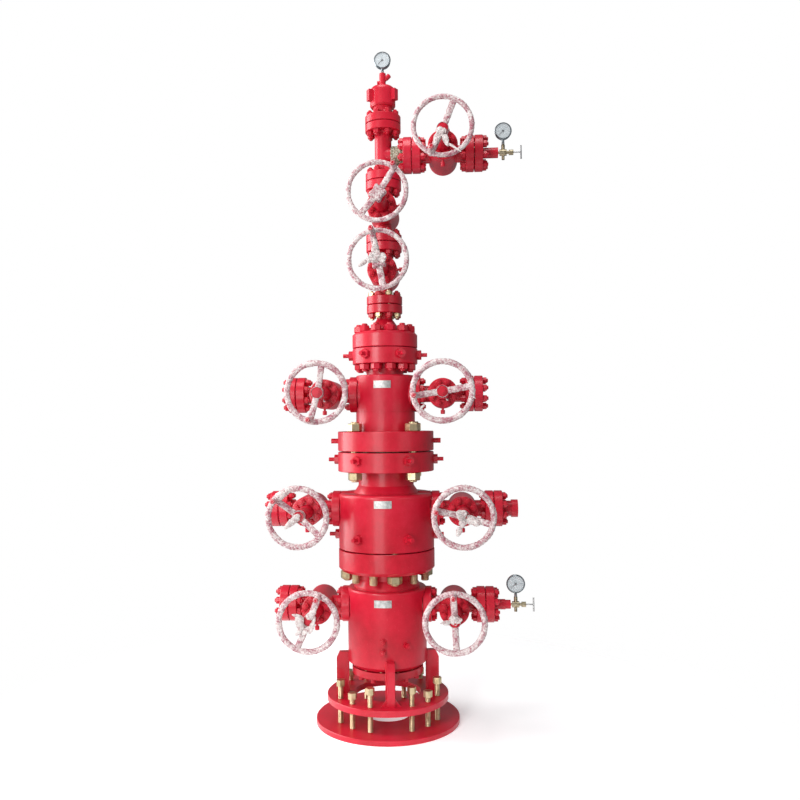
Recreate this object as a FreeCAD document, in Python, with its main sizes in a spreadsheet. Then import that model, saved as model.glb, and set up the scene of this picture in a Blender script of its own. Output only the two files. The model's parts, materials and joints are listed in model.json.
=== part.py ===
"""Gas wellhead and valve tree, from the base plate up to the top pressure gauge.

Millimetres, +Z up, origin at the centre of the base plate's underside. The side outlets run
along X and every handwheel faces -Y. The sheet "sizes" holds the driving dimensions, and each
sub-part is bound to its cells. Heights of the stack are added up from the ground, so a change
to one spool carries everything above it.
"""

import FreeCAD
import Part
import Sketcher
import os
import re

from math import cos, radians, sin

from FreeCAD import Placement, Rotation, Vector

SIZES = [
    # base: plate on the ground, ring on jack screws, gussets welded to the casing head
    ("plate_radius", 435),
    ("plate_thick", 30),
    ("plate_bore_radius", 130),
    ("ring_radius", 367.5),
    ("ring_bore_radius", 199),
    ("ring_thick", 36),
    ("ring_lift", 107),
    ("base_turn", 7.5),
    ("screw_circle", 312),
    ("screw_radius", 14.5),
    ("screw_pitch", 22.5),
    ("screw_head_radius", 26),
    ("screw_head_thick", 37),
    ("jack_rise", 74),
    ("tie_rise", 28),
    ("tie_depth", 24),
    ("gusset_thick", 44),
    ("gusset_reach", 311),
    ("gusset_height", 246),
    ("gusset_corner_run", 19),
    ("gusset_corner_rise", 40),
    ("foot_rib_width", 34),
    ("foot_rib_height", 45),
    ("foot_rib_thick", 12),
    # casing head and the collar that locks it on the casing
    ("casing_bore_radius", 123.5),
    ("socket_depth", 180),
    ("casing_stop_radius", 111),
    ("bowl_radius", 139.5),
    ("head_clear", 175),
    ("head_radius", 239),
    ("head_foot_radius", 215),
    ("head_foot_rise", 22),
    ("head_barrel", 444),
    ("head_shoulder_round", 14),
    ("head_flare_radius", 200),
    ("head_flare_rise", 54),
    ("head_neck_radius", 177),
    ("head_neck", 47),
    ("head_flange_radius", 291),
    ("head_flange_thick", 129),
    ("head_flange_corner", 19),
    ("head_outlet_rise", 355),
    ("head_flat", 217),
    ("boss_root", 12),
    ("collar_radius", 216),
    ("collar_thick", 43),
    ("collar_spigot_radius", 170),
    ("collar_gap", 9),
    # casing spool
    ("big_gap", 6),
    ("spool_bore_radius", 114),
    ("spool_radius", 289),
    ("spool_barrel", 333),
    ("spool_shoulder_round", 20),
    ("spool_flare_radius", 198),
    ("spool_flare_rise", 44),
    ("spool_neck_radius", 168),
    ("spool_neck", 87),
    ("spool_outlet_rise", 233),
    ("spool_flat", 271),
    # tubing head
    ("head_joint_gap", 8),
    ("big_flange_radius", 291),
    ("big_flange_thick", 116),
    ("big_flange_bolt_circle", 241.3),
    ("big_flange_hole_radius", 25.5),
    ("big_flange_holes", 12),
    ("tubing_bore_radius", 89.7),
    ("tubing_radius", 179),
    ("tubing_lower_barrel", 116),
    ("tubing_groove", 5),
    ("tubing_upper_barrel", 217),
    ("tubing_shoulder_round", 11),
    ("tubing_neck_radius", 112),
    ("tubing_neck", 68),
    ("tubing_outlet_rise", 340),
    ("tubing_flat", 160),
    ("mid_flange_radius", 197.5),
    ("mid_flange_thick", 94),
    # adapter from the tubing head to the tree
    ("small_gap", 4),
    ("adapter_corner", 16),
    ("adapter_cone_radius", 92),
    ("adapter_cone_foot", 20),
    ("adapter_cone_rise", 62),
    ("adapter_neck_radius", 48),
    ("adapter_neck", 34),
    # 2-1/16 in line: flanges, valves, tee and cap
    ("bore_radius", 26.2),
    ("flange_radius", 108),
    ("flange_thick", 50),
    ("edge_corner", 3),
    ("valve_length", 371),
    ("run_radius", 50),
    ("run_foot_radius", 58),
    ("run_foot_rise", 10),
    ("barrel_radius", 88),
    ("barrel_back", 160),
    ("barrel_front", 140),
    ("barrel_round", 24),
    ("bonnet_flange_thick", 46),
    ("bonnet_foot_radius", 44),
    ("bonnet_taper", 34),
    ("bonnet_neck_radius", 36),
    ("bonnet_neck", 80),
    ("housing_radius", 40),
    ("housing_length", 96),
    ("stem_radius", 14.7),
    ("stem_clearance", 0.3),
    ("stem_pocket", 72),
    ("stem_end_clearance", 10),
    ("fitting_neck_radius", 7),
    ("fitting_neck", 24),
    ("fitting_head_radius", 13),
    ("fitting_head", 24),
    ("wheel_reach", 490),
    ("wheel_dish", 55),
    ("rim_radius", 160),
    ("rim_section_radius", 12),
    ("spoke_width", 28),
    ("spoke_thick", 14),
    ("hub_radius", 30),
    ("hub_length", 50),
    ("hub_nut_radius", 18),
    ("hub_nut_length", 10),
    ("stem_tip_radius", 11),
    ("stem_tip", 4),
    ("crank_offset", 155),
    ("crank_boss_radius", 18),
    ("crank_boss", 24),
    ("crank_waist_radius", 10),
    ("crank_grip_radius", 13),
    ("crank_length", 86),
    ("tee_reach_down", 158),
    ("tee_reach_up", 188),
    ("tee_reach_out", 174),
    ("tee_radius", 51),
    ("cap_flange_thick", 46),
    ("cap_neck_radius", 58),
    ("cap_neck", 57),
    ("cap_sub_radius", 52),
    ("cap_sub", 62),
    ("union_radius", 77),
    ("union_height", 128),
    ("union_round", 34),
    ("union_lug_reach", 100),
    ("union_lug_width", 36),
    ("union_lug_height", 66),
    ("union_lug_lift", 31),
    # ends of the side runs
    ("nipple_radius", 31),
    ("nipple_length", 68),
    ("nipple_tip_radius", 27),
    ("nipple_tip_length", 32),
    ("wing_nipple_length", 92),
    ("bull_radius", 46),
    ("bull_length", 54),
    ("bull_collar_radius", 53),
    ("bull_collar_length", 39),
    ("bull_bore_radius", 24),
    # needle valves and gauges
    ("needle_inlet_radius", 8),
    ("needle_inlet", 10),
    ("needle_block_radius", 19),
    ("needle_block", 42),
    ("needle_waist_radius", 9),
    ("needle_waist", 14),
    ("needle_nut_radius", 16),
    ("needle_nut", 26),
    ("needle_pocket", 18),
    ("needle_port_radius", 11),
    ("needle_port", 46),
    ("needle_bleed_radius", 9),
    ("needle_bleed", 43),
    ("handle_stem_radius", 4),
    ("handle_stem_clearance", 0.3),
    ("handle_reach", 46),
    ("handle_bar_radius", 4.5),
    ("handle_bar_length", 84),
    ("handle_tilt", 8),
    ("gauge_radius", 51.5),
    ("casing_gauge_radius", 56),
    ("gauge_lip", 4),
    ("gauge_depth", 36),
    ("gauge_bezel", 8),
    ("gauge_glass_recess", 4),
    ("gauge_rise", 126),
    ("gauge_stem_radius", 8),
    ("top_block_radius", 20),
    ("top_block", 84),
    ("top_arm_radius", 14),
    ("top_arm_length", 62),
    ("top_plug_radius", 10),
    ("top_plug_reach", 33),
    ("top_gauge_rise", 75),
    # lock screws and test plugs round the big flanges
    ("gland_radius", 29),
    ("gland_thick", 24),
    ("lock_stem_radius", 12),
    ("lock_stem", 35),
    ("test_plug_radius", 15),
    ("test_plug_reach", 43),
    ("screw_root", 30),
    ("spool_lock_rise", 78),
    ("flange_lock_rise", 70),
    ("tubing_lock_rise", 55),
]

# height of each level above the ground, as sums of the sizes
LEVELS = [
    ("ring_top", "plate_thick + ring_lift + ring_thick"),
    ("head_foot", "ring_top + head_clear"),
    ("head_shoulder", "head_foot + head_foot_rise + head_barrel"),
    ("head_flange_foot", "head_shoulder + head_flare_rise + head_neck"),
    ("head_top", "head_flange_foot + head_flange_thick"),
    ("spool_foot", "head_top + big_gap"),
    ("spool_shoulder", "spool_foot + spool_barrel"),
    ("spool_flange_foot", "spool_shoulder + spool_flare_rise + spool_neck"),
    ("spool_top", "spool_flange_foot + big_flange_thick"),
    ("tubing_foot", "spool_top + head_joint_gap"),
    ("tubing_barrel_foot", "tubing_foot + big_flange_thick"),
    ("tubing_split", "tubing_barrel_foot + tubing_lower_barrel"),
    ("tubing_shoulder", "tubing_split + tubing_groove + tubing_upper_barrel"),
    ("tubing_flange_foot", "tubing_shoulder + tubing_neck"),
    ("tubing_top", "tubing_flange_foot + mid_flange_thick"),
    ("adapter_foot", "tubing_top + small_gap"),
    ("adapter_cone_top", "adapter_foot + mid_flange_thick + adapter_cone_foot + adapter_cone_rise"),
    ("adapter_top", "adapter_cone_top + adapter_neck + flange_thick"),
    ("lower_master_foot", "adapter_top + small_gap"),
    ("upper_master_foot", "lower_master_foot + valve_length + small_gap"),
    ("tee_foot", "upper_master_foot + valve_length + small_gap"),
    ("tee_centre", "tee_foot + tee_reach_down"),
    ("tee_top", "tee_centre + tee_reach_up"),
    ("cap_foot", "tee_top + small_gap"),
    ("union_foot", "cap_foot + cap_flange_thick + cap_neck"),
    ("union_top", "union_foot + union_height"),
    ("top_block_top", "union_top + top_block"),
    ("casing_outlet", "head_foot + head_outlet_rise"),
    ("spool_outlet", "spool_foot + spool_outlet_rise"),
    ("tubing_outlet", "tubing_foot + tubing_outlet_rise"),
]

# name, run along "side" or "up", centre of the run, direction of the crank knob seen from the
# front, counter-clockwise from +X
VALVES = [
    ("casing_left", "side", "-(head_flat + small_gap + valve_length / 2)", "casing_outlet", 67),
    ("casing_right", "side", "head_flat + small_gap + valve_length / 2", "casing_outlet", 93),
    ("spool_left", "side", "-(spool_flat + small_gap + valve_length / 2)", "spool_outlet", 140),
    ("spool_right", "side", "spool_flat + small_gap + valve_length / 2", "spool_outlet", 166),
    ("tubing_left", "side", "-(tubing_flat + small_gap + valve_length / 2)", "tubing_outlet", 258),
    ("tubing_right", "side", "tubing_flat + small_gap + valve_length / 2", "tubing_outlet", 189),
    ("lower_master", "up", "0", "lower_master_foot + valve_length / 2", 101),
    ("upper_master", "up", "0", "upper_master_foot + valve_length / 2", 53),
    ("wing", "side", "tee_reach_out + small_gap + valve_length / 2", "tee_centre", 246),
]

ALONG_X = Rotation(Vector(0, 1, 0), 90)
ALONG_MINUS_X = Rotation(Vector(0, 1, 0), -90)
ALONG_MINUS_Y = Rotation(Vector(1, 0, 0), 90)
DOWN = Rotation(Vector(1, 0, 0), 180)
RUN_UP = Rotation(Vector(0, 1, 0), -90)

# screw heads come to rest at angles that drift round the ring
HEAD_DRIFT = 2.3

doc = FreeCAD.newDocument("wellhead")
sheet = doc.addObject("Spreadsheet::Sheet", "sizes")


def bound(formula):
    """A formula in plain size names, as an expression on the sheet's cells."""
    return re.sub(r"[a-z][a-z_0-9]*", lambda word: "sizes." + word.group(), formula)


def value(formula):
    found = sheet.evalExpression(bound(formula))
    return float(getattr(found, "Value", found))


def fill_sheet():
    for row, (name, size) in enumerate(SIZES, start=1):
        sheet.set(f"A{row}", name)
        sheet.set(f"B{row}", str(size))
        sheet.setAlias(f"B{row}", name)
    first = len(SIZES) + 2
    for row, (name, formula) in enumerate(LEVELS, start=first):
        sheet.set(f"A{row}", name)
        sheet.set(f"B{row}", "=" + formula)
        sheet.setAlias(f"B{row}", name)
    doc.recompute()


def place(thing, at=("0", "0", "0"), turn=None):
    """Put a sub-part at a point given by three formulas, after an optional turn."""
    thing.Placement = Placement(Vector(), turn or Rotation())
    for axis, formula in zip("xyz", at):
        if formula != "0":
            thing.setExpression(f"Placement.Base.{axis}", bound(formula))
    return thing


def outline_sketch(body, name, plane, outline):
    """A closed outline of straight lines, each corner held to its two formulas."""
    sketch = body.newObject("Sketcher::SketchObject", name + "_outline")
    base = [found for found in body.Origin.OriginFeatures if found.Role == plane][0]
    sketch.AttachmentSupport = [(base, "")]
    sketch.MapMode = "FlatFace"
    corners = [Vector(value(across), value(up), 0) for across, up in outline]
    count = len(corners)
    for index in range(count):
        sketch.addGeometry(Part.LineSegment(corners[index], corners[(index + 1) % count]))
    rules = [Sketcher.Constraint("Coincident", i, 2, (i + 1) % count, 1) for i in range(count)]
    sketch.addConstraint(rules)
    for index, pair in enumerate(outline):
        for kind, formula, axis in zip(("DistanceX", "DistanceY"), pair, (-2, -1)):
            if formula == "0":
                sketch.addConstraint(Sketcher.Constraint("PointOnObject", index, 1, axis))
                continue
            rule = Sketcher.Constraint(kind, -1, 1, index, 1, value(formula))
            number = sketch.addConstraint(rule)
            sketch.setExpression(f"Constraints[{number}]", bound(formula))
    return sketch


def turned(name, outline):
    """A body of revolution about its own Z axis; outline is (radius, height) pairs."""
    body = doc.addObject("PartDesign::Body", name)
    sketch = outline_sketch(body, name, "XZ_Plane", outline)
    turn = body.newObject("PartDesign::Revolution", name + "_turned")
    turn.Profile = sketch
    turn.ReferenceAxis = (sketch, ["V_Axis"])
    turn.Angle = 360
    doc.recompute()
    return body


def plated(name, plane, outline, thickness):
    """A plate of the given outline, half its thickness each side of the plane."""
    body = doc.addObject("PartDesign::Body", name)
    pad = body.newObject("PartDesign::Pad", name + "_pad")
    pad.Profile = outline_sketch(body, name, plane, outline)
    pad.Midplane = True
    pad.setExpression("Length", bound(thickness))
    body.Tip = pad
    doc.recompute()
    return body


def rounded(body, size, radius, height):
    """Round the edge of a turned body that lies at this radius and height."""
    tip = body.Tip
    edges = []
    for number, edge in enumerate(tip.Shape.Edges, start=1):
        if not hasattr(edge.Curve, "Radius"):
            continue
        near_radius = abs(edge.Curve.Radius - value(radius)) < 0.01
        if near_radius and abs(edge.Curve.Center.z - value(height)) < 0.01:
            edges.append(f"Edge{number}")
    fillet = body.newObject("PartDesign::Fillet", body.Name + "_round")
    fillet.Base = (tip, edges)
    fillet.setExpression("Radius", bound(size))
    body.Tip = fillet
    doc.recompute()
    return body


def rod(name, radius, length, at=("0", "0", "0"), turn=None):
    bar = doc.addObject("Part::Cylinder", name)
    bar.setExpression("Radius", bound(radius))
    bar.setExpression("Height", bound(length))
    return place(bar, at, turn)


def block(name, size, at, turn=None):
    box = doc.addObject("Part::Box", name)
    for side, formula in zip(("Length", "Width", "Height"), size):
        box.setExpression(side, bound(formula))
    return place(box, at, turn)


def fused(name, pieces):
    join = doc.addObject("Part::MultiFuse", name)
    join.Shapes = pieces
    return join


def gathered(name, pieces):
    """Pieces that don't touch each other, kept as separate solids of one sub-part."""
    group = doc.addObject("Part::Compound", name)
    group.Links = pieces
    return group


def cut(name, whole, tools):
    """The whole less the tools; several tools are taken away together."""
    result = doc.addObject("Part::Cut", name)
    result.Base = whole
    result.Tool = tools[0] if len(tools) == 1 else fused(name + "_tools", tools)
    return result


def copied(name, pattern, at=("0", "0", "0"), turn=None):
    """A copy of a pattern piece at a place of its own."""
    return place(gathered(name, [pattern]), at, turn)


def base_plate():
    plate = turned("base_plate_disc", [
        ("plate_bore_radius", "0"),
        ("plate_radius", "0"),
        ("plate_radius", "plate_thick - edge_corner"),
        ("plate_radius - edge_corner", "plate_thick"),
        ("plate_bore_radius", "plate_thick"),
    ])
    holes = [
        rod(f"tie_hole_{number}", "screw_radius", "plate_thick", around(angle, "screw_circle"))
        for number, angle in enumerate(tie_angles(), start=1)
    ]
    return [cut("base_plate", plate, holes)]


def around(angle, circle, height="0"):
    """A point on a circle about the Z axis, at an angle from -Y towards +X."""
    turn = radians(angle)
    return (f"{sin(turn):.9f} * {circle}", f"{-cos(turn):.9f} * {circle}", height)


def screw_angle(step):
    """The angle of one of the ring's screw places, counted from the front gusset."""
    return value("base_turn") + value("screw_pitch") * step


def jack_angles():
    return [screw_angle(step) for step in range(1, 16, 2)]


def tie_angles():
    return [screw_angle(step) for step in range(2, 16, 4)]


def base_ring():
    ring = turned("base_ring_disc", [
        ("ring_bore_radius", "plate_thick + ring_lift"),
        ("ring_radius", "plate_thick + ring_lift"),
        ("ring_radius", "ring_top - edge_corner"),
        ("ring_radius - edge_corner", "ring_top"),
        ("ring_bore_radius", "ring_top"),
    ])
    holes = []
    for number, angle in enumerate(jack_angles() + tie_angles(), start=1):
        foot = around(angle, "screw_circle", "plate_thick + ring_lift")
        holes.append(rod(f"ring_hole_{number}", "screw_radius", "ring_thick", foot))
    return [cut("base_ring", ring, holes)]


def hexagon(name, radius, length, at=("0", "0", "0")):
    """A six-sided bar along +Z, given by the radius of its corners."""
    bar = doc.addObject("Part::Prism", name)
    bar.Polygon = 6
    bar.setExpression("Circumradius", bound(radius))
    bar.setExpression("Height", bound(length))
    return place(bar, at)


def hex_screw(name, foot, rise):
    """A hexagon-headed screw standing at foot, its head a given rise above the ring."""
    shank = rod(name + "_shank", "screw_radius", f"ring_top + {rise} - ({foot})", ("0", "0", foot))
    head = hexagon(name + "_head", "screw_head_radius", "screw_head_thick",
                   ("0", "0", f"ring_top + {rise}"))
    return fused(name, [shank, head])


def base_screws():
    """Eight jack screws that stand on the plate, and four ties that go down into it."""
    jack = hex_screw("jack_pattern", "plate_thick", "jack_rise")
    tie = hex_screw("tie_pattern", "plate_thick - tie_depth", "tie_rise")
    screws = []
    for pattern, angles in ((jack, jack_angles()), (tie, tie_angles())):
        for angle in angles:
            spin = Rotation(Vector(0, 0, 1), HEAD_DRIFT * angle)
            name = f"{pattern.Name}_{len(screws) + 1}"
            screws.append(copied(name, pattern, around(angle, "screw_circle"), spin))
    return [gathered("base_screws", screws)]


def base_gussets():
    """Upright plates on the ring, shaped to the casing head's barrel, with small foot ribs."""
    inner = "head_radius - 2 * gusset_corner_run"
    web = plated("gusset_web", "XZ_Plane", [
        (inner, "ring_top"),
        ("gusset_reach", "ring_top"),
        ("gusset_reach", "ring_top + gusset_height - gusset_corner_rise"),
        ("gusset_reach - gusset_corner_run", "ring_top + gusset_height"),
        (inner, "ring_top + gusset_height"),
    ], "gusset_thick")
    half = "gusset_thick / 2"
    rib = plated("gusset_rib", "YZ_Plane", [
        (f"-({half} + foot_rib_width)", "ring_top"),
        (f"{half} + foot_rib_width", "ring_top"),
        (half, "ring_top + foot_rib_height"),
        (f"-({half})", "ring_top + foot_rib_height"),
    ], "foot_rib_thick")
    place(rib, ("gusset_reach - 2 * foot_rib_thick", "0", "0"))
    barrel = rod("gusset_barrel", "head_radius", "gusset_height", ("0", "0", "ring_top"))
    pattern = cut("gusset_pattern", fused("gusset_weldment", [web, rib]), [barrel])
    gussets = []
    for quarter in range(4):
        spin = Rotation(Vector(0, 0, 1), value("base_turn") - 90 + 90 * quarter)
        gussets.append(copied(f"gusset_{quarter + 1}", pattern, turn=spin))
    return [gathered("base_gussets", gussets)]


def lock_collar():
    return [turned("lock_collar", [
        ("casing_bore_radius", "head_foot - collar_gap - collar_thick"),
        ("collar_radius - edge_corner", "head_foot - collar_gap - collar_thick"),
        ("collar_radius", "head_foot - collar_gap - collar_thick + edge_corner"),
        ("collar_radius", "head_foot - collar_gap"),
        ("collar_spigot_radius", "head_foot - collar_gap"),
        ("collar_spigot_radius", "head_foot"),
        ("casing_bore_radius", "head_foot"),
    ])]


def with_outlets(name, barrel, inside, flat, height):
    """Add two round bosses to a barrel, face them flat and bore the outlets through."""
    bosses = []
    facers = []
    bores = []
    for side, turn, sign in (("left", ALONG_MINUS_X, "-"), ("right", ALONG_X, "")):
        bosses.append(rod(f"{name}_boss_{side}", "flange_radius", f"{flat} - {inside}",
                          (f"{sign}{inside}", "0", height), turn))
        facers.append(rod(f"{name}_facer_{side}", "flange_radius + edge_corner", flat,
                          (f"{sign}{flat}", "0", height), turn))
        bores.append(rod(f"{name}_bore_{side}", "bore_radius", flat, ("0", "0", height), turn))
    return cut(name, fused(name + "_rough", [barrel] + bosses), facers + bores)


def casing_head():
    barrel = turned("casing_head_barrel", [
        ("casing_bore_radius", "head_foot"),
        ("head_foot_radius", "head_foot"),
        ("head_radius", "head_foot + head_foot_rise"),
        ("head_radius", "head_shoulder"),
        ("head_flare_radius", "head_shoulder"),
        ("head_flare_radius", "head_shoulder + head_flare_rise / 5"),
        ("head_neck_radius", "head_shoulder + head_flare_rise"),
        ("head_neck_radius", "head_flange_foot"),
        ("head_flange_radius - head_flange_corner", "head_flange_foot"),
        ("head_flange_radius", "head_flange_foot + head_flange_corner"),
        ("head_flange_radius", "head_top - edge_corner"),
        ("head_flange_radius - edge_corner", "head_top"),
        ("bowl_radius", "head_top"),
        ("bowl_radius", "head_foot + 2 * socket_depth"),
        ("casing_stop_radius", "head_foot + 3 * socket_depth / 2"),
        ("casing_stop_radius", "head_foot + socket_depth"),
        ("casing_bore_radius", "head_foot + socket_depth"),
    ])
    rounded(barrel, "head_shoulder_round", "head_radius", "head_shoulder")
    return [with_outlets("casing_head", barrel, "bowl_radius + boss_root", "head_flat",
                         "casing_outlet")]


def casing_spool():
    barrel = turned("casing_spool_barrel", [
        ("spool_bore_radius", "spool_foot"),
        ("spool_radius - edge_corner", "spool_foot"),
        ("spool_radius", "spool_foot + edge_corner"),
        ("spool_radius", "spool_shoulder"),
        ("spool_flare_radius", "spool_shoulder"),
        ("spool_neck_radius", "spool_shoulder + spool_flare_rise"),
        ("spool_neck_radius", "spool_flange_foot"),
        ("big_flange_radius - edge_corner", "spool_flange_foot"),
        ("big_flange_radius", "spool_flange_foot + edge_corner"),
        ("big_flange_radius", "spool_top - edge_corner"),
        ("big_flange_radius - edge_corner", "spool_top"),
        ("bowl_radius", "spool_top"),
        ("bowl_radius", "spool_shoulder"),
        ("spool_bore_radius", "spool_shoulder - spool_flare_rise"),
    ])
    rounded(barrel, "spool_shoulder_round", "spool_radius", "spool_shoulder")
    body = with_outlets("casing_spool_faced", barrel, "bowl_radius + boss_root",
                        "spool_flat", "spool_outlet")
    return [cut("casing_spool", body, flange_holes("spool_hole", "spool_flange_foot"))]


def flange_holes(name, height):
    """The ring of bolt holes in one big flange, as cylinders to take away."""
    count = int(value("big_flange_holes"))
    holes = []
    for number in range(count):
        angle = (number + 0.5) * 360 / count
        foot = around(angle, "big_flange_bolt_circle", height)
        holes.append(rod(f"{name}_{number + 1}", "big_flange_hole_radius", "big_flange_thick", foot))
    return holes


def tubing_head():
    barrel = turned("tubing_head_barrel", [
        ("tubing_bore_radius", "tubing_foot"),
        ("big_flange_radius - edge_corner", "tubing_foot"),
        ("big_flange_radius", "tubing_foot + edge_corner"),
        ("big_flange_radius", "tubing_barrel_foot - edge_corner"),
        ("big_flange_radius - edge_corner", "tubing_barrel_foot"),
        ("tubing_radius", "tubing_barrel_foot"),
        ("tubing_radius", "tubing_split"),
        ("tubing_radius - tubing_groove", "tubing_split"),
        ("tubing_radius - tubing_groove", "tubing_split + tubing_groove"),
        ("tubing_radius", "tubing_split + tubing_groove"),
        ("tubing_radius", "tubing_shoulder"),
        ("tubing_neck_radius", "tubing_shoulder"),
        ("tubing_neck_radius", "tubing_flange_foot"),
        ("mid_flange_radius - edge_corner", "tubing_flange_foot"),
        ("mid_flange_radius", "tubing_flange_foot + edge_corner"),
        ("mid_flange_radius", "tubing_top - edge_corner"),
        ("mid_flange_radius - edge_corner", "tubing_top"),
        ("tubing_bore_radius", "tubing_top"),
    ])
    rounded(barrel, "tubing_shoulder_round", "tubing_radius", "tubing_shoulder")
    body = with_outlets("tubing_head_faced", barrel, "tubing_bore_radius + boss_root",
                        "tubing_flat", "tubing_outlet")
    return [cut("tubing_head", body, flange_holes("tubing_hole", "tubing_foot"))]


def tree_adapter():
    flange_top = "adapter_foot + mid_flange_thick"
    return [turned("tree_adapter", [
        ("bore_radius", "adapter_foot"),
        ("mid_flange_radius - edge_corner", "adapter_foot"),
        ("mid_flange_radius", "adapter_foot + edge_corner"),
        ("mid_flange_radius", f"{flange_top} - adapter_corner"),
        ("mid_flange_radius - adapter_corner", flange_top),
        ("adapter_cone_radius", flange_top),
        ("adapter_cone_radius", f"{flange_top} + adapter_cone_foot"),
        ("adapter_neck_radius", "adapter_cone_top"),
        ("adapter_neck_radius", "adapter_top - flange_thick"),
        ("flange_radius - edge_corner", "adapter_top - flange_thick"),
        ("flange_radius", "adapter_top - flange_thick + edge_corner"),
        ("flange_radius", "adapter_top - edge_corner"),
        ("flange_radius - edge_corner", "adapter_top"),
        ("bore_radius", "adapter_top"),
    ])]


def valve_body_pattern():
    """The forged body of a gate valve: a flanged run along X through a barrel along Y."""
    far = "valve_length"
    run = turned("valve_run", [
        ("0", "0"),
        ("flange_radius - edge_corner", "0"),
        ("flange_radius", "edge_corner"),
        ("flange_radius", "flange_thick - edge_corner"),
        ("flange_radius - edge_corner", "flange_thick"),
        ("run_foot_radius", "flange_thick"),
        ("run_radius", "flange_thick + run_foot_rise"),
        ("run_radius", f"{far} - flange_thick - run_foot_rise"),
        ("run_foot_radius", f"{far} - flange_thick"),
        ("flange_radius - edge_corner", f"{far} - flange_thick"),
        ("flange_radius", f"{far} - flange_thick + edge_corner"),
        ("flange_radius", f"{far} - edge_corner"),
        ("flange_radius - edge_corner", far),
        ("0", far),
    ])
    place(run, ("-valve_length / 2", "0", "0"), ALONG_X)
    barrel = turned("valve_barrel", [
        ("0", "0"),
        ("barrel_radius", "0"),
        ("barrel_radius", "barrel_back + barrel_front - edge_corner"),
        ("barrel_radius - edge_corner", "barrel_back + barrel_front"),
        ("0", "barrel_back + barrel_front"),
    ])
    rounded(barrel, "barrel_round", "barrel_radius", "0")
    place(barrel, ("0", "barrel_back", "0"), ALONG_MINUS_Y)
    bore = rod("valve_bore", "bore_radius", far, ("-valve_length / 2", "0", "0"), ALONG_X)
    return cut("valve_body_pattern", fused("valve_forging", [run, barrel]), [bore])


def bonnet_pattern():
    """The bonnet in front of the body, its stem housing and the grease fitting below."""
    flange = "bonnet_flange_thick"
    neck = f"{flange} + bonnet_taper + bonnet_neck"
    front = f"{neck} + housing_length"
    bore = "stem_radius + stem_clearance"
    shell = turned("bonnet_shell", [
        ("0", "0"),
        ("barrel_radius - edge_corner", "0"),
        ("barrel_radius", "edge_corner"),
        ("barrel_radius", f"{flange} - edge_corner"),
        ("barrel_radius - edge_corner", flange),
        ("bonnet_foot_radius", flange),
        ("bonnet_neck_radius", f"{flange} + bonnet_taper"),
        ("bonnet_neck_radius", neck),
        ("housing_radius", f"{neck} + edge_corner"),
        ("housing_radius", f"{front} - edge_corner"),
        ("housing_radius - edge_corner", front),
        (bore, front),
        (bore, f"{front} - stem_pocket"),
        ("0", f"{front} - stem_pocket"),
    ])
    place(shell, ("0", "-barrel_front", "0"), ALONG_MINUS_Y)
    fitting = turned("grease_fitting", [
        ("0", "0"),
        ("fitting_neck_radius", "0"),
        ("fitting_neck_radius", "fitting_neck"),
        ("fitting_head_radius", "fitting_neck"),
        ("fitting_head_radius", "fitting_neck + fitting_head - edge_corner"),
        ("fitting_head_radius - edge_corner", "fitting_neck + fitting_head"),
        ("0", "fitting_neck + fitting_head"),
    ])
    middle = "-(barrel_front + bonnet_flange_thick / 2)"
    place(fitting, ("0", middle, "-(barrel_radius - fitting_neck / 2)"), DOWN)
    return fused("bonnet_pattern", [shell, fitting])


def handwheel_pattern():
    """Rim, two spokes, hub, stem and crank knob; the knob lies towards +X.

    The wheel is dished: its hub sits back from the rim, and the spokes slope out to the rim.
    """
    pocket_floor = ("barrel_front + bonnet_flange_thick + bonnet_taper + bonnet_neck"
                    " + housing_length - stem_pocket")
    stem_foot = f"({pocket_floor} + stem_end_clearance)"
    hub_foot = f"wheel_reach - wheel_dish - hub_length / 2 - {stem_foot}"
    nut_foot = f"{hub_foot} + hub_length"
    tip_foot = f"{nut_foot} + hub_nut_length"
    core = turned("wheel_core", [
        ("0", "0"),
        ("stem_radius", "0"),
        ("stem_radius", hub_foot),
        ("hub_radius", hub_foot),
        ("hub_radius", f"{nut_foot} - edge_corner"),
        ("hub_radius - edge_corner", nut_foot),
        ("hub_nut_radius", nut_foot),
        ("hub_nut_radius", tip_foot),
        ("stem_tip_radius", tip_foot),
        ("stem_tip_radius", f"{tip_foot} + stem_tip"),
        ("0", f"{tip_foot} + stem_tip"),
    ])
    place(core, ("0", f"-{stem_foot}", "0"), ALONG_MINUS_Y)
    rim = doc.addObject("Part::Torus", "wheel_rim")
    rim.setExpression("Radius1", bound("rim_radius"))
    rim.setExpression("Radius2", bound("rim_section_radius"))
    place(rim, ("0", "-wheel_reach", "0"), ALONG_MINUS_Y)
    spokes = plated("wheel_spokes", "XY_Plane", [
        ("-rim_radius", "-(wheel_reach - spoke_thick / 2)"),
        ("-rim_radius", "-(wheel_reach + spoke_thick / 2)"),
        ("0", "-(wheel_reach - wheel_dish + spoke_thick / 2)"),
        ("rim_radius", "-(wheel_reach + spoke_thick / 2)"),
        ("rim_radius", "-(wheel_reach - spoke_thick / 2)"),
        ("0", "-(wheel_reach - wheel_dish - spoke_thick / 2)"),
    ], "spoke_width")
    grip_foot = "crank_boss + edge_corner"
    knob = turned("wheel_crank", [
        ("0", "0"),
        ("crank_boss_radius", "0"),
        ("crank_boss_radius", "crank_boss"),
        ("crank_waist_radius", grip_foot),
        ("crank_grip_radius", f"{grip_foot} + crank_length / 2"),
        ("crank_grip_radius", f"{grip_foot} + crank_length - edge_corner"),
        ("crank_grip_radius - edge_corner", f"{grip_foot} + crank_length"),
        ("0", f"{grip_foot} + crank_length"),
    ])
    place(knob, ("crank_offset", "-(wheel_reach - crank_boss / 2)", "0"), ALONG_MINUS_Y)
    return fused("handwheel_pattern", [core, rim, spokes, knob])


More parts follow.
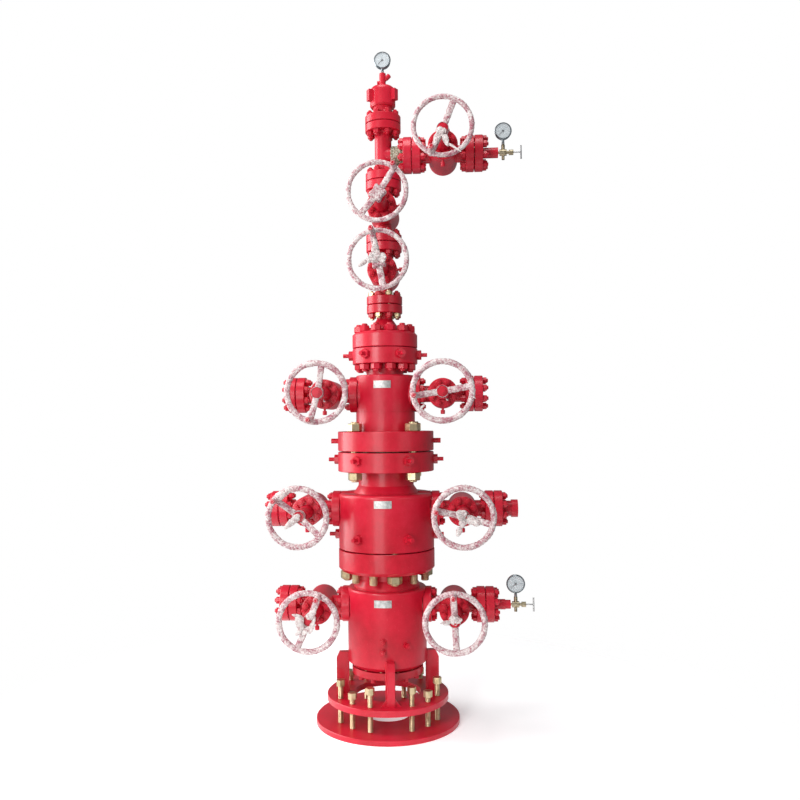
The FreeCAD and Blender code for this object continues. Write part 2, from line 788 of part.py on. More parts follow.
def valves():
    """Every gate valve: its body, and its handwheel turned to its own rest angle."""
    body_pattern = valve_body_pattern()
    bonnet = bonnet_pattern()
    wheel = handwheel_pattern()
    made = []
    bonnets = []
    for name, run, across, height, knob_angle in VALVES:
        turn = RUN_UP if run == "up" else Rotation()
        at = (across, "0", height)
        made.append(copied(name + "_body", body_pattern, at, turn))
        bonnets.append(copied(name + "_bonnet", bonnet, at, turn))
        spin = Rotation(Vector(0, -1, 0), knob_angle)
        made.append(copied(name + "_handwheel", wheel, at, spin))
    made.append(gathered("valve_bonnets", bonnets))
    return made


def flow_tee():
    stand = turned("tee_stand", [
        ("0", "tee_foot"),
        ("flange_radius - edge_corner", "tee_foot"),
        ("flange_radius", "tee_foot + edge_corner"),
        ("flange_radius", "tee_foot + flange_thick - edge_corner"),
        ("flange_radius - edge_corner", "tee_foot + flange_thick"),
        ("run_foot_radius", "tee_foot + flange_thick"),
        ("tee_radius", "tee_foot + flange_thick + run_foot_rise"),
        ("tee_radius", "tee_top - cap_flange_thick - run_foot_rise"),
        ("run_foot_radius", "tee_top - cap_flange_thick"),
        ("flange_radius - edge_corner", "tee_top - cap_flange_thick"),
        ("flange_radius", "tee_top - cap_flange_thick + edge_corner"),
        ("flange_radius", "tee_top - edge_corner"),
        ("flange_radius - edge_corner", "tee_top"),
        ("0", "tee_top"),
    ])
    branch = turned("tee_branch", [
        ("0", "0"),
        ("tee_radius", "0"),
        ("tee_radius", "tee_reach_out - flange_thick"),
        ("flange_radius - edge_corner", "tee_reach_out - flange_thick"),
        ("flange_radius", "tee_reach_out - flange_thick + edge_corner"),
        ("flange_radius", "tee_reach_out - edge_corner"),
        ("flange_radius - edge_corner", "tee_reach_out"),
        ("0", "tee_reach_out"),
    ])
    place(branch, ("0", "0", "tee_centre"), ALONG_X)
    rise = rod("tee_bore", "bore_radius", "tee_top - tee_foot", ("0", "0", "tee_foot"))
    out = rod("tee_branch_bore", "bore_radius", "tee_reach_out", ("0", "0", "tee_centre"), ALONG_X)
    return [cut("flow_tee", fused("tee_forging", [stand, branch]), [rise, out])]


def tree_cap():
    """The cap's flanged body with its threaded sub, and the lugged union nut over it."""
    flange_top = "cap_foot + cap_flange_thick"
    body = turned("cap_body", [
        ("bore_radius", "cap_foot"),
        ("flange_radius - edge_corner", "cap_foot"),
        ("flange_radius", "cap_foot + edge_corner"),
        ("flange_radius", f"{flange_top} - edge_corner"),
        ("flange_radius - edge_corner", flange_top),
        ("cap_neck_radius", flange_top),
        ("cap_neck_radius", "union_foot"),
        ("cap_sub_radius", "union_foot"),
        ("cap_sub_radius", "union_foot + cap_sub"),
        ("bore_radius", "union_foot + cap_sub"),
    ])
    nut = turned("union_shell", [
        ("cap_sub_radius", "union_foot"),
        ("union_radius - 2 * edge_corner", "union_foot"),
        ("union_radius", "union_foot + 3 * edge_corner"),
        ("union_radius", "union_top"),
        ("needle_inlet_radius", "union_top"),
        ("needle_inlet_radius", "union_foot + cap_sub"),
        ("cap_sub_radius", "union_foot + cap_sub"),
    ])
    rounded(nut, "union_round", "union_radius", "union_top")
    size = ("union_lug_reach - cap_sub_radius - edge_corner", "union_lug_width", "union_lug_height")
    pattern = block("union_lug", size, ("cap_sub_radius + edge_corner", "-union_lug_width / 2",
                                        "union_foot + union_lug_lift"))
    lugs = []
    for number, angle in enumerate((90, -30, -150), start=1):
        lugs.append(copied(f"union_lug_{number}", pattern, turn=Rotation(Vector(0, 0, 1), angle)))
    return [body, fused("cap_union", [nut] + lugs)]


def blind_flanges():
    """The four blind flanges that close side valves with no instrument on them."""
    blank = turned("blind_pattern", [
        ("0", "0"),
        ("flange_radius - edge_corner", "0"),
        ("flange_radius", "edge_corner"),
        ("flange_radius", "flange_thick - edge_corner"),
        ("flange_radius - edge_corner", "flange_thick"),
        ("0", "flange_thick"),
    ])
    ends = (("casing_left", "-", "head_flat", "casing_outlet", ALONG_MINUS_X),
            ("spool_left", "-", "spool_flat", "spool_outlet", ALONG_MINUS_X),
            ("tubing_left", "-", "tubing_flat", "tubing_outlet", ALONG_MINUS_X),
            ("tubing_right", "", "tubing_flat", "tubing_outlet", ALONG_X))
    blanks = []
    for name, sign, flat, height, turn in ends:
        far = f"{sign}({flat} + valve_length + 2 * small_gap)"
        blanks.append(copied(name + "_blind", blank, (far, "0", height), turn))
    return [gathered("blind_flanges", blanks)]


def end_flange(name, steps, flat, height, bore):
    """A flange on the far end of a right-hand valve, with a stepped nipple turned on it."""
    outline = [
        (bore, "0"),
        ("flange_radius - edge_corner", "0"),
        ("flange_radius", "edge_corner"),
        ("flange_radius", "flange_thick - edge_corner"),
        ("flange_radius - edge_corner", "flange_thick"),
    ]
    along = "flange_thick"
    for radius, length in steps:
        outline.append((radius, along))
        along = f"{along} + {length}"
        outline.append((radius, along))
    outline.append((bore, along))
    flange = turned(name, outline)
    return place(flange, (f"{flat} + valve_length + 2 * small_gap", "0", height), ALONG_X)


def outlet_flanges():
    casing = end_flange("casing_outlet_flange",
                        [("nipple_radius", "nipple_length"),
                         ("nipple_tip_radius", "nipple_tip_length")],
                        "head_flat", "casing_outlet", "needle_inlet_radius")
    spool = end_flange("spool_outlet_flange",
                       [("bull_radius", "bull_length"),
                        ("bull_collar_radius", "bull_collar_length")],
                       "spool_flat", "spool_outlet", "bull_bore_radius")
    wing = end_flange("wing_outlet_flange", [("nipple_radius", "wing_nipple_length")],
                      "tee_reach_out", "tee_centre", "needle_inlet_radius")
    return [casing, spool, wing]


def needle_valve(name, end, height):
    """An angle needle valve screwed into a nipple that ends at the given point on X."""
    block_foot = "needle_inlet"
    waist_foot = f"{block_foot} + needle_block"
    nut_foot = f"{waist_foot} + needle_waist"
    nut_end = f"{nut_foot} + needle_nut"
    pocket = "handle_stem_radius + handle_stem_clearance"
    spine = turned(name + "_spine", [
        ("0", "0"),
        ("needle_inlet_radius", "0"),
        ("needle_inlet_radius", block_foot),
        ("needle_block_radius", block_foot),
        ("needle_block_radius", waist_foot),
        ("needle_waist_radius", waist_foot),
        ("needle_waist_radius", nut_foot),
        ("needle_nut_radius", nut_foot),
        ("needle_nut_radius", nut_end),
        (pocket, nut_end),
        (pocket, f"{nut_end} - needle_pocket"),
        ("0", f"{nut_end} - needle_pocket"),
    ])
    place(spine, turn=ALONG_X)
    middle = f"{block_foot} + needle_block / 2"
    port = rod(name + "_port", "needle_port_radius", "needle_port", (middle, "0", "0"))
    bleed = rod(name + "_bleed", "needle_bleed_radius", "needle_bleed", (middle, "0", "0"), DOWN)
    whole = place(fused(name, [spine, port, bleed]), (end, "0", height))
    return whole


def tee_handle(name, end, height):
    """The T-handle of a needle valve: a thin stem in the nut and a cross bar at its end."""
    nut_end = "needle_inlet + needle_block + needle_waist + needle_nut"
    foot = f"{nut_end} - needle_pocket + edge_corner"
    stem = rod(name + "_stem", "handle_stem_radius",
               f"{nut_end} + handle_reach - ({foot})", (foot, "0", "0"), ALONG_X)
    tilt = Rotation(Vector(1, 0, 0), -value("handle_tilt"))
    bar = rod(name + "_bar", "handle_bar_radius", "handle_bar_length")
    bar.Placement = Placement(Vector(), tilt)
    half = "handle_bar_length / 2"
    bar.setExpression("Placement.Base.x", bound(f"{nut_end} + handle_reach"))
    bar.setExpression("Placement.Base.y", bound(half) + " * -sin(sizes.handle_tilt * 1deg)")
    bar.setExpression("Placement.Base.z", "-" + bound(half) + " * cos(sizes.handle_tilt * 1deg)")
    return place(fused(name, [stem, bar]), (end, "0", height))


def gauge(name, radius, across, stem_foot, centre):
    """A round dial gauge facing -Y on a stem that rises from stem_foot."""
    case_radius = f"({radius} - gauge_lip)"
    case = turned(name + "_case", [
        ("0", "0"),
        (f"{case_radius} - edge_corner", "0"),
        (case_radius, "edge_corner"),
        (case_radius, "gauge_depth - gauge_bezel"),
        (radius, "gauge_depth - gauge_bezel"),
        (radius, "gauge_depth - edge_corner"),
        (f"{radius} - edge_corner", "gauge_depth"),
        (f"{case_radius} - edge_corner", "gauge_depth"),
        (f"{case_radius} - edge_corner", "gauge_depth - gauge_glass_recess"),
        ("0", "gauge_depth - gauge_glass_recess"),
    ])
    place(case, (across, "gauge_depth / 2", centre), ALONG_MINUS_Y)
    reach = f"{centre} - {case_radius} / 2 - ({stem_foot})"
    stem = rod(name + "_stem", "gauge_stem_radius", reach, (across, "0", stem_foot))
    return fused(name, [case, stem])


def side_instruments():
    """Needle valve, T-handle and gauge on the two right-hand nipples that carry them."""
    made = []
    casing_end = ("head_flat + valve_length + 2 * small_gap + flange_thick"
                  " + nipple_length + nipple_tip_length")
    wing_end = ("tee_reach_out + valve_length + 2 * small_gap + flange_thick"
                " + wing_nipple_length")
    for name, end, height, radius in (("casing", casing_end, "casing_outlet", "casing_gauge_radius"),
                                      ("wing", wing_end, "tee_centre", "gauge_radius")):
        made.append(needle_valve(name + "_needle_valve", end, height))
        made.append(tee_handle(name + "_tee_handle", end, height))
        across = f"{end} + needle_inlet + needle_block / 2"
        made.append(gauge(name + "_gauge", radius, across, f"{height} + needle_port",
                          f"{height} + gauge_rise"))
    return made


def top_instruments():
    """The painted needle valve and the gauge on top of the tree."""
    trunk = turned("top_trunk", [
        ("0", "union_top"),
        ("top_block_radius - edge_corner", "union_top"),
        ("top_block_radius", "union_top + edge_corner"),
        ("top_block_radius", "top_block_top - edge_corner"),
        ("top_block_radius - 2 * edge_corner", "top_block_top"),
        ("0", "top_block_top"),
    ])
    middle = "union_top + top_block / 2"
    arm = turned("top_arm", [
        ("0", "0"),
        ("top_arm_radius - edge_corner", "0"),
        ("top_arm_radius - edge_corner", "top_arm_length / 2"),
        ("top_arm_radius", "top_arm_length / 2"),
        ("top_arm_radius", "top_arm_length - edge_corner"),
        ("top_arm_radius - 2 * edge_corner", "top_arm_length"),
        ("0", "top_arm_length"),
    ])
    place(arm, ("0", "0", f"{middle} - top_arm_radius"), Rotation(Vector(0, 1, 0), 45))
    plug = rod("top_plug", "top_plug_radius", "top_plug_reach",
               ("0", "0", f"{middle} - top_arm_radius"), ALONG_MINUS_X)
    valve = fused("top_needle_valve", [trunk, arm, plug])
    return [valve, gauge("top_gauge", "gauge_radius", "0", "top_block_top",
                         "top_block_top + top_gauge_rise")]


def ring_gaskets():
    """The ring joint between each pair of flanges, which holds their faces apart."""
    small = turned("small_gasket", [
        ("3 * flange_radius / 8", "0"),
        ("flange_radius / 2", "0"),
        ("flange_radius / 2", "small_gap"),
        ("3 * flange_radius / 8", "small_gap"),
    ])
    rings = []
    upright = ("adapter_top", "upper_master_foot - small_gap", "tee_foot - small_gap", "tee_top")
    for height in upright:
        rings.append(copied(f"gasket_{len(rings) + 1}", small, ("0", "0", height)))
    sides = (("-", "head_flat", "casing_outlet"), ("", "head_flat", "casing_outlet"),
             ("-", "spool_flat", "spool_outlet"), ("", "spool_flat", "spool_outlet"),
             ("-", "tubing_flat", "tubing_outlet"), ("", "tubing_flat", "tubing_outlet"),
             ("", "tee_reach_out", "tee_centre"))
    for sign, flat, height in sides:
        turn = ALONG_MINUS_X if sign else ALONG_X
        for start in (flat, f"{flat} + small_gap + valve_length"):
            at = (f"{sign}({start})", "0", height)
            rings.append(copied(f"gasket_{len(rings) + 1}", small, at, turn))
    wide = (("head_gasket", "head_top", "big_gap", "bowl_radius"),
            ("spool_gasket", "spool_top", "head_joint_gap", "bowl_radius"),
            ("tubing_gasket", "tubing_top", "small_gap", "tubing_bore_radius"))
    for name, height, gap, bore in wide:
        rings.append(turned(name, [
            (f"{bore} + gland_radius / 2", height),
            (f"{bore} + gland_radius", height),
            (f"{bore} + gland_radius", f"{height} + {gap}"),
            (f"{bore} + gland_radius / 2", f"{height} + {gap}"),
        ]))
    return [gathered("ring_gaskets", rings)]


def lock_screws():
    """Gland and stem of the screws that lock each hanger, and the two test plugs.

    Each starts inside the wall and is trimmed by it, so that it sits on the curved face.
    """
    gland = hexagon("lock_gland", "gland_radius", "screw_root + gland_thick")
    stem = rod("lock_stem_rod", "lock_stem_radius", "screw_root + gland_thick + lock_stem")
    screw = fused("lock_screw_pattern", [gland, stem])
    rows = (("spool_foot + spool_lock_rise", "spool_radius"),
            ("spool_flange_foot + flange_lock_rise", "big_flange_radius"),
            ("tubing_flange_foot + tubing_lock_rise", "mid_flange_radius"))
    screws = []
    for height, wall in rows:
        for angle in (-150, -90, -30, 30, 90, 150):
            out = Rotation(Vector(0, 0, 1), angle - 90) * ALONG_X
            at = around(angle, f"({wall} - screw_root)", height)
            screws.append(copied(f"lock_screw_{len(screws) + 1}", screw, at, out))
    plug = rod("test_plug_pattern", "test_plug_radius", "screw_root + test_plug_reach")
    for angle in (-90, 90):
        out = Rotation(Vector(0, 0, 1), angle - 90) * ALONG_X
        at = around(angle, "(big_flange_radius - screw_root)", "tubing_foot + big_flange_thick / 2")
        screws.append(copied(f"test_plug_{len(screws) + 1}", plug, at, out))
    walls = [
        rod("lock_wall_1", "spool_radius", "spool_barrel", ("0", "0", "spool_foot")),
        rod("lock_wall_2", "big_flange_radius", "big_flange_thick", ("0", "0", "spool_flange_foot")),
        rod("lock_wall_3", "big_flange_radius", "big_flange_thick", ("0", "0", "tubing_foot")),
        rod("lock_wall_4", "mid_flange_radius", "mid_flange_thick",
            ("0", "0", "tubing_flange_foot")),
    ]
    return [cut("lock_screws", gathered("lock_screw_rows", screws), walls)]


def check(parts):
    """Stop if any object failed to build or any sub-part has no sound solid."""
    failed = [thing.Name for thing in doc.Objects if {"Invalid", "Error"} & set(thing.State)]
    if failed:
        raise RuntimeError("these objects failed: " + ", ".join(failed))
    for part in parts:
        shape = part.Shape
        if shape.isNull() or not shape.isValid() or not shape.Solids:
            raise RuntimeError(part.Label + " is not a sound solid")


def main():
    fill_sheet()
    parts = []
    for make in (base_plate, base_ring, base_screws, base_gussets, lock_collar, casing_head,
                 casing_spool, tubing_head, tree_adapter, valves, flow_tee, tree_cap,
                 blind_flanges, outlet_flanges, side_instruments, top_instruments,
                 ring_gaskets, lock_screws):
        parts += make()
    doc.recompute()
    check(parts)
    os.makedirs("parts", exist_ok=True)
    for part in parts:
        part.Shape.exportStep(os.path.join("parts", part.Label + ".step"))
        print(part.Label, len(part.Shape.Solids), round(part.Shape.Volume / 1e6, 3))


main()
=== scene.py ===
import json
import math

import bpy
from mathutils import Matrix, Vector


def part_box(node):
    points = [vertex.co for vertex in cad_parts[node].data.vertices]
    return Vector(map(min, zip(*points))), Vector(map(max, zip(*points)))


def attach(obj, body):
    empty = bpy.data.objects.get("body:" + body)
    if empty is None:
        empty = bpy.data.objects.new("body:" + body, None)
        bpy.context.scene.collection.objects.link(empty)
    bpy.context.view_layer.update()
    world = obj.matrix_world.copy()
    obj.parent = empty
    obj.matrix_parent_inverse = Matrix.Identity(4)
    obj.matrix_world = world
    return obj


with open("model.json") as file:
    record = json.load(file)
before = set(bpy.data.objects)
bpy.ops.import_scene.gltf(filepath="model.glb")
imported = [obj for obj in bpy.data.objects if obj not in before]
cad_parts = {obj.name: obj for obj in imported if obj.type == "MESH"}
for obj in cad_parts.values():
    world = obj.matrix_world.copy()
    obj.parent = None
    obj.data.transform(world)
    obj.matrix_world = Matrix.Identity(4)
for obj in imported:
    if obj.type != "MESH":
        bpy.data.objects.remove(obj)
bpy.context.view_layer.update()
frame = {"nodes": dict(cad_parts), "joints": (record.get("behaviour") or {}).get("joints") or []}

# Flange thicknesses, the gaps between flanges, and the radii of the barrels' walls.
FLANGE = 0.050
CAP_FLANGE = 0.046
MAIN_FLANGE = 0.094
SPOOL_FLANGE = 0.116
HEAD_FLANGE = 0.129
GASKET_GAP = 0.004
SPOOL_GAP = 0.008
COLLAR_GAP = 0.009
HEAD_WALL = 0.239
SPOOL_WALL = 0.289
TUBING_WALL = 0.179

# Radii of the circles that studs and screws stand on, and the depth of the bonnets' joint.
SMALL_CIRCLE = 0.0825
BONNET_CIRCLE = 0.0668
MAIN_CIRCLE = 0.15875
LARGE_CIRCLE = 0.2413
COLLAR_CIRCLE = 0.190
SCREW_CIRCLE = 0.312
SCREW = 0.0146
BASE_TURN = 7.5
BONNET_FACE = -0.186

# Handwheels: the rim's and knob's radii from the stem, and how far knob and dish reach.
RIM = 0.160
KNOB_OFFSET = 0.155
KNOB_REACH = 0.101
WHEEL_DISH = 0.055
RIM_FILM = 0.0135
RIM_SLACK = 0.0028

# Gauge dials: degrees of the scale's zero, sweep and pointer, its divisions, and the
# height of what is printed on it.
DIAL_ZERO = 225
DIAL_SWEEP = 270
DIAL_POINTER = 222
DIAL_STEPS = 30
DIAL_NUMBER_EVERY = 5
DIAL_PRINT = 0.0013

SIDE_VALVES = ("casing_left", "casing_right", "spool_left", "spool_right",
               "tubing_left", "tubing_right", "wing")
MASTERS = ("lower_master", "upper_master")
KNOB_DIRECTION = {"casing_left": 67, "casing_right": 93, "spool_left": 140, "spool_right": 166,
                  "tubing_left": 258, "tubing_right": 189, "lower_master": 101,
                  "upper_master": 53, "wing": 246}


# Materials: one class for shader arithmetic, one for a finish and its nodes.

class Level:
    """A number that changes over a surface; arithmetic on it adds Math nodes."""

    def __init__(self, finish, socket):
        self.finish = finish
        self.socket = socket

    def math(self, operation, other, swapped=False):
        first, second = (other, self) if swapped else (self, other)
        return self.finish.node("Math", {0: first, 1: second}, operation=operation)

    def __add__(self, other):
        return self.math("ADD", other)

    def __radd__(self, other):
        return self.math("ADD", other, swapped=True)

    def __sub__(self, other):
        return self.math("SUBTRACT", other)

    def __rsub__(self, other):
        return self.math("SUBTRACT", other, swapped=True)

    def __mul__(self, other):
        return self.math("MULTIPLY", other)

    def __rmul__(self, other):
        return self.math("MULTIPLY", other, swapped=True)

    def __gt__(self, other):
        return self.math("GREATER_THAN", other)


class Finish:
    """A procedural material: its Principled shader and the nodes that feed it."""

    def __init__(self, name, **numbers):
        self.material = bpy.data.materials.new(name)
        self.material.use_nodes = True
        self.tree = self.material.node_tree
        self.shader = self.tree.nodes["Principled BSDF"]
        for word, number in numbers.items():
            socket = word.replace("_", " ").title().replace("Ior", "IOR")
            self.shader.inputs[socket].default_value = number
        self.place = self.node("TexCoord", out="Object")

    def node(self, kind, inputs=None, out=0, stops=(), **settings):
        made = self.tree.nodes.new("ShaderNode" + kind)
        for name, setting in settings.items():
            setattr(made, name, setting)
        for index, (position, tint) in enumerate(stops):
            elements = made.color_ramp.elements
            if index < 2:
                elements[index].position = position
            else:
                elements.new(position)
            elements[index].color = tint
        for name, value in (inputs or {}).items():
            if isinstance(value, Level):
                self.tree.links.new(value.socket, made.inputs[name])
            else:
                made.inputs[name].default_value = value
        return Level(self, made.outputs[out])

    def noise(self, scale, detail=3.0, roughness=0.55, vector=None):
        inputs = {"Vector": vector or self.place, "Scale": scale, "Detail": detail,
                  "Roughness": roughness}
        return self.node("TexNoise", inputs, out="Fac")

    def ramp(self, level, *stops):
        return self.node("ValToRGB", {"Fac": level}, out="Color", stops=stops)

    def mix(self, level, first, second):
        return self.node("Mix", {0: level, 6: first, 7: second}, out=2, data_type="RGBA")

    def feed(self, **levels):
        for word, level in levels.items():
            self.tree.links.new(level.socket, self.shader.inputs[word.replace("_", " ").title()])

    def bump(self, height, strength, distance):
        inputs = {"Height": height, "Strength": strength, "Distance": distance}
        self.feed(normal=self.node("Bump", inputs, out="Normal"))


def clamp_ramp(finish, level, low, high):
    """0 below low and 1 above high, straight between."""
    return finish.node("MapRange", {"Value": level, "From Min": low, "From Max": high})


def red_paint(name, grain, lumps):
    """Gloss crimson enamel, sprayed over turned steel or over a rougher forging."""
    paint = Finish(name, coat_weight=0.22, coat_roughness=0.16, specular_ior_level=0.34)
    cloud = paint.noise(2.6, 4)
    dust = paint.noise(17, 5, 0.65)
    tone = paint.ramp(cloud * 0.7 + dust * 0.3,
                      (0.34, (0.42, 0.004, 0.016, 1)),
                      (0.50, (0.55, 0.006, 0.025, 1)),
                      (0.66, (0.63, 0.012, 0.040, 1)))
    fleck = clamp_ramp(paint, paint.noise(140, 2), 0.62, 0.78)
    paint.feed(base_color=paint.mix(fleck * 0.30, tone, (0.70, 0.10, 0.13, 1)),
               roughness=0.28 + dust * 0.22 + fleck * 0.12)
    peel = paint.noise(420, 2)
    paint.bump(peel * grain + paint.noise(38, 3) * lumps, 0.6, 0.001)
    return paint.material


def yellow_zinc(name, threaded):
    """Passivated zinc: pale gold with pink and green drifts, threads as fine rings."""
    zinc = Finish(name, metallic=1.0)
    drift = zinc.noise(34, 3)
    spots = zinc.noise(210, 2)
    tone = zinc.ramp(drift,
                     (0.30, (0.34, 0.27, 0.13, 1)),
                     (0.50, (0.56, 0.46, 0.25, 1)),
                     (0.70, (0.62, 0.44, 0.28, 1)))
    zinc.feed(base_color=zinc.mix(spots * 0.3, tone, (0.80, 0.74, 0.58, 1)),
              roughness=0.26 + spots * 0.22)
    if threaded:
        rings = zinc.node("TexWave", {"Vector": zinc.place, "Scale": 88.0}, out="Fac",
                          bands_direction="Z", wave_profile="TRI")
        zinc.bump(rings, 0.9, 0.0016)
    else:
        zinc.bump(spots, 0.25, 0.0006)
    return zinc.material


def bare_metal(name, dark, light, roughness, grain=0.2):
    metal = Finish(name, metallic=1.0)
    smear = metal.noise(60, 4)
    fine = metal.noise(500, 2)
    metal.feed(base_color=metal.ramp(smear, (0.3, dark), (0.7, light)),
               roughness=roughness + smear * 0.16)
    metal.bump(fine * grain, 0.5, 0.0005)
    return metal.material


def wrap_film():
    """Thin white film drawn tight over the paint: red shows through where it is one layer."""
    film = Finish("wrap_film", coat_weight=0.18, coat_roughness=0.3, ior=1.4)
    patch = film.noise(24, 3)
    streak = film.noise(95, 4, 0.7)
    thin = clamp_ramp(film, patch * 0.40 + streak * 0.60, 0.42, 0.58)
    tone = film.ramp(thin,
                     (0.0, (0.74, 0.68, 0.66, 1)),
                     (0.45, (0.58, 0.44, 0.44, 1)),
                     (1.0, (0.36, 0.10, 0.14, 1)))
    film.feed(base_color=tone, roughness=0.36 + streak * 0.22)
    crease = film.node("TexVoronoi", {"Vector": film.place, "Scale": 75.0}, out="Distance",
                       feature="DISTANCE_TO_EDGE")
    film.bump(crease * 0.6 + streak * 0.8, 0.8, 0.0024)
    return film.material


def bunched_film():
    """The same film crumpled several layers deep: nearly white, with painted shade making it
    darker and pinker in its low folds.
    """
    film = Finish("bunched_film", coat_weight=0.15, coat_roughness=0.3, ior=1.4)
    fold = film.noise(60, 5, 0.7)
    # Darker pink where the fold noise is low, in the hollows of the bump below: painted shade in
    # the folds.
    tone = film.ramp(fold,
                     (0.34, (0.46, 0.27, 0.28, 1)),
                     (0.48, (0.68, 0.60, 0.58, 1)),
                     (0.66, (0.82, 0.79, 0.76, 1)))
    film.feed(base_color=tone, roughness=0.34 + fold * 0.25)
    film.bump(fold, 1.0, 0.006)
    return film.material


def net_sleeve():
    net = Finish("net_sleeve", roughness=0.6)
    knot = net.node("TexVoronoi", {"Vector": net.place, "Scale": 85.0}, out="Distance")
    stain = net.noise(25, 3)
    # Dark away from the raised knots, in the low spaces between them, as painted shade; the stain
    # noise adds real staining of the net.
    tone = net.ramp(knot * 0.8 + stain * 0.5,
                    (0.25, (0.66, 0.65, 0.55, 1)),
                    (0.55, (0.44, 0.42, 0.31, 1)),
                    (0.85, (0.18, 0.16, 0.10, 1)))
    net.feed(base_color=tone)
    net.bump(1 - knot, 0.8, 0.004)
    return net.material


def dial_white():
    face = Finish("dial_white", roughness=0.35)
    haze = face.noise(40, 2)
    face.feed(base_color=face.ramp(haze,
                                   (0.3, (0.50, 0.55, 0.57, 1)),
                                   (0.7, (0.62, 0.66, 0.67, 1))))
    return face.material


def dial_ink(name, dark, light):
    ink = Finish(name, roughness=0.45)
    speck = ink.noise(300, 2)
    ink.feed(base_color=ink.ramp(speck, (0.3, dark), (0.7, light)))
    return ink.material


def gauge_glass():
    """A clear pane: nearly all of the dial shows, with a sharp reflection over it."""
    glass = Finish("gauge_glass", coat_weight=1.0, coat_roughness=0.03, alpha=0.10)
    smear = glass.noise(20, 2)
    tone = glass.ramp(smear,
                      (0.3, (0.75, 0.80, 0.82, 1)),
                      (0.7, (0.86, 0.90, 0.92, 1)))
    glass.feed(base_color=tone, roughness=0.05 + smear * 0.05)
    return glass.material


def floor_finish():
    """Pale floor that fades out well away from the object."""
    floor = Finish("pale_floor", roughness=0.6, specular_ior_level=0.2, emission_strength=0.34)
    cloud = floor.noise(0.8, 2)
    away = floor.node("VectorMath", {0: floor.place}, out="Value", operation="LENGTH")
    fade = floor.node("MapRange", {"Value": away, "From Min": 1.1, "From Max": 2.6,
                                   "To Min": 1.0, "To Max": 0.0}, interpolation_type="SMOOTHSTEP")
    tone = floor.ramp(cloud,
                      (0.3, (0.90, 0.90, 0.90, 1)),
                      (0.7, (0.94, 0.94, 0.94, 1)))
    floor.feed(base_color=tone, alpha=fade)
    return floor.material


PAINT = red_paint("gloss_paint", grain=0.16, lumps=0.10)
CAST_PAINT = red_paint("forging_paint", grain=0.28, lumps=0.9)
ZINC = yellow_zinc("yellow_zinc", threaded=False)
ZINC_THREAD = yellow_zinc("yellow_zinc_thread", threaded=True)
STEEL = bare_metal("bright_steel", (0.42, 0.42, 0.42, 1), (0.72, 0.72, 0.71, 1), 0.22)
TAG = bare_metal("tag_plate", (0.34, 0.34, 0.33, 1), (0.66, 0.66, 0.64, 1), 0.38)
BRASS = bare_metal("worn_brass", (0.30, 0.24, 0.14, 1), (0.62, 0.54, 0.38, 1), 0.30)
BEZEL = bare_metal("bezel_steel", (0.16, 0.19, 0.21, 1), (0.42, 0.46, 0.48, 1), 0.22)
DARK_STEEL = bare_metal("gasket_steel", (0.20, 0.17, 0.12, 1), (0.46, 0.40, 0.28, 1), 0.40)
FILM = wrap_film()
BUNCH = bunched_film()
NET = net_sleeve()
DIAL = dial_white()
INK = dial_ink("pointer_black", (0.010, 0.011, 0.014, 1), (0.03, 0.03, 0.035, 1))
SCALE_INK = dial_ink("scale_grey", (0.16, 0.18, 0.20, 1), (0.24, 0.26, 0.28, 1))
GLASS = gauge_glass()


# Making and placing pieces.

def deselect():
    if bpy.context.mode != "OBJECT":
        bpy.ops.object.mode_set(mode="OBJECT")
    bpy.ops.object.select_all(action="DESELECT")


def hold(*things):
    """Select only these pieces, the first of them active."""
    deselect()
    for thing in things:
        thing.select_set(True)
    bpy.context.view_layer.objects.active = things[0]


def shape(kind, at=(0, 0, 0), turn=(0, 0, 0), **size):
    """Add a primitive at its size and place, with its place baked into its mesh."""
    deselect()
    getattr(bpy.ops.mesh, f"primitive_{kind}_add")(location=at, rotation=turn, **size)
    bpy.ops.object.transform_apply(location=True, rotation=True, scale=True)
    return bpy.context.object


def edit(piece, test):
    """Enter edit mode with only the faces whose centre and normal pass the test selected."""
    hold(piece)
    bpy.ops.object.mode_set(mode="EDIT")
    bpy.ops.mesh.select_mode(type="FACE")
    bpy.ops.mesh.select_all(action="DESELECT")
    bpy.ops.object.mode_set(mode="OBJECT")
    for face in piece.data.polygons:
        face.select = test(face.center, face.normal)
    bpy.ops.object.mode_set(mode="EDIT")


def every_face(centre, normal):
    return True


def ease(piece, offset, both_ends=False):
    """Bevel the edges of a piece's top face, or of its top and bottom faces."""
    edit(piece, lambda centre, normal: (abs(normal.z) if both_ends else normal.z) > 0.9)
    bpy.ops.mesh.bevel(offset=offset, segments=1, affect="EDGES")
    deselect()


def cut_up(piece, cuts, test=every_face):
    """Subdivide the faces that pass the test, so that the piece can be bent or crumpled."""
    edit(piece, test)
    bpy.ops.mesh.subdivide(number_cuts=cuts)
    deselect()


def join(things):
    hold(*things)
    if len(things) > 1:
        bpy.ops.object.join()
    return bpy.context.object


def stamp(pattern, places):
    """A copy of the pattern at each place, each with its own mesh, joined into one piece."""
    copies = []
    for place in places:
        copy = pattern.copy()
        copy.data = pattern.data.copy()
        bpy.context.scene.collection.objects.link(copy)
        copy.data.transform(place)
        copies.append(copy)
    return join(copies)


def discard(*things):
    for thing in things:
        bpy.data.objects.remove(thing)


def keep(piece, name, finish, body="stack", angle=35):
    """Name a finished piece, give it its finish and let it ride on its body."""
    hold(piece)
    bpy.ops.object.shade_smooth_by_angle(angle=math.radians(angle))
    piece.name = name
    piece.data.name = name
    piece.data.materials.clear()
    piece.data.materials.append(finish)
    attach(piece, body)
    return piece


def modify(piece, kind, **settings):
    """Add a modifier with these settings and apply it."""
    hold(piece)
    modifier = piece.modifiers.new(kind.lower(), kind)
    for name, setting in settings.items():
        setattr(modifier, name, setting)
    bpy.ops.object.modifier_apply(modifier=modifier.name)


def crumple(piece, size, depth, kind="CLOUDS"):
    """Push a surface in and out by a seamless noise of a given grain."""
    pattern = bpy.data.textures.new("crumple", kind)
    pattern.noise_scale = size
    modify(piece, "DISPLACE", texture=pattern, strength=depth, mid_level=0.5)


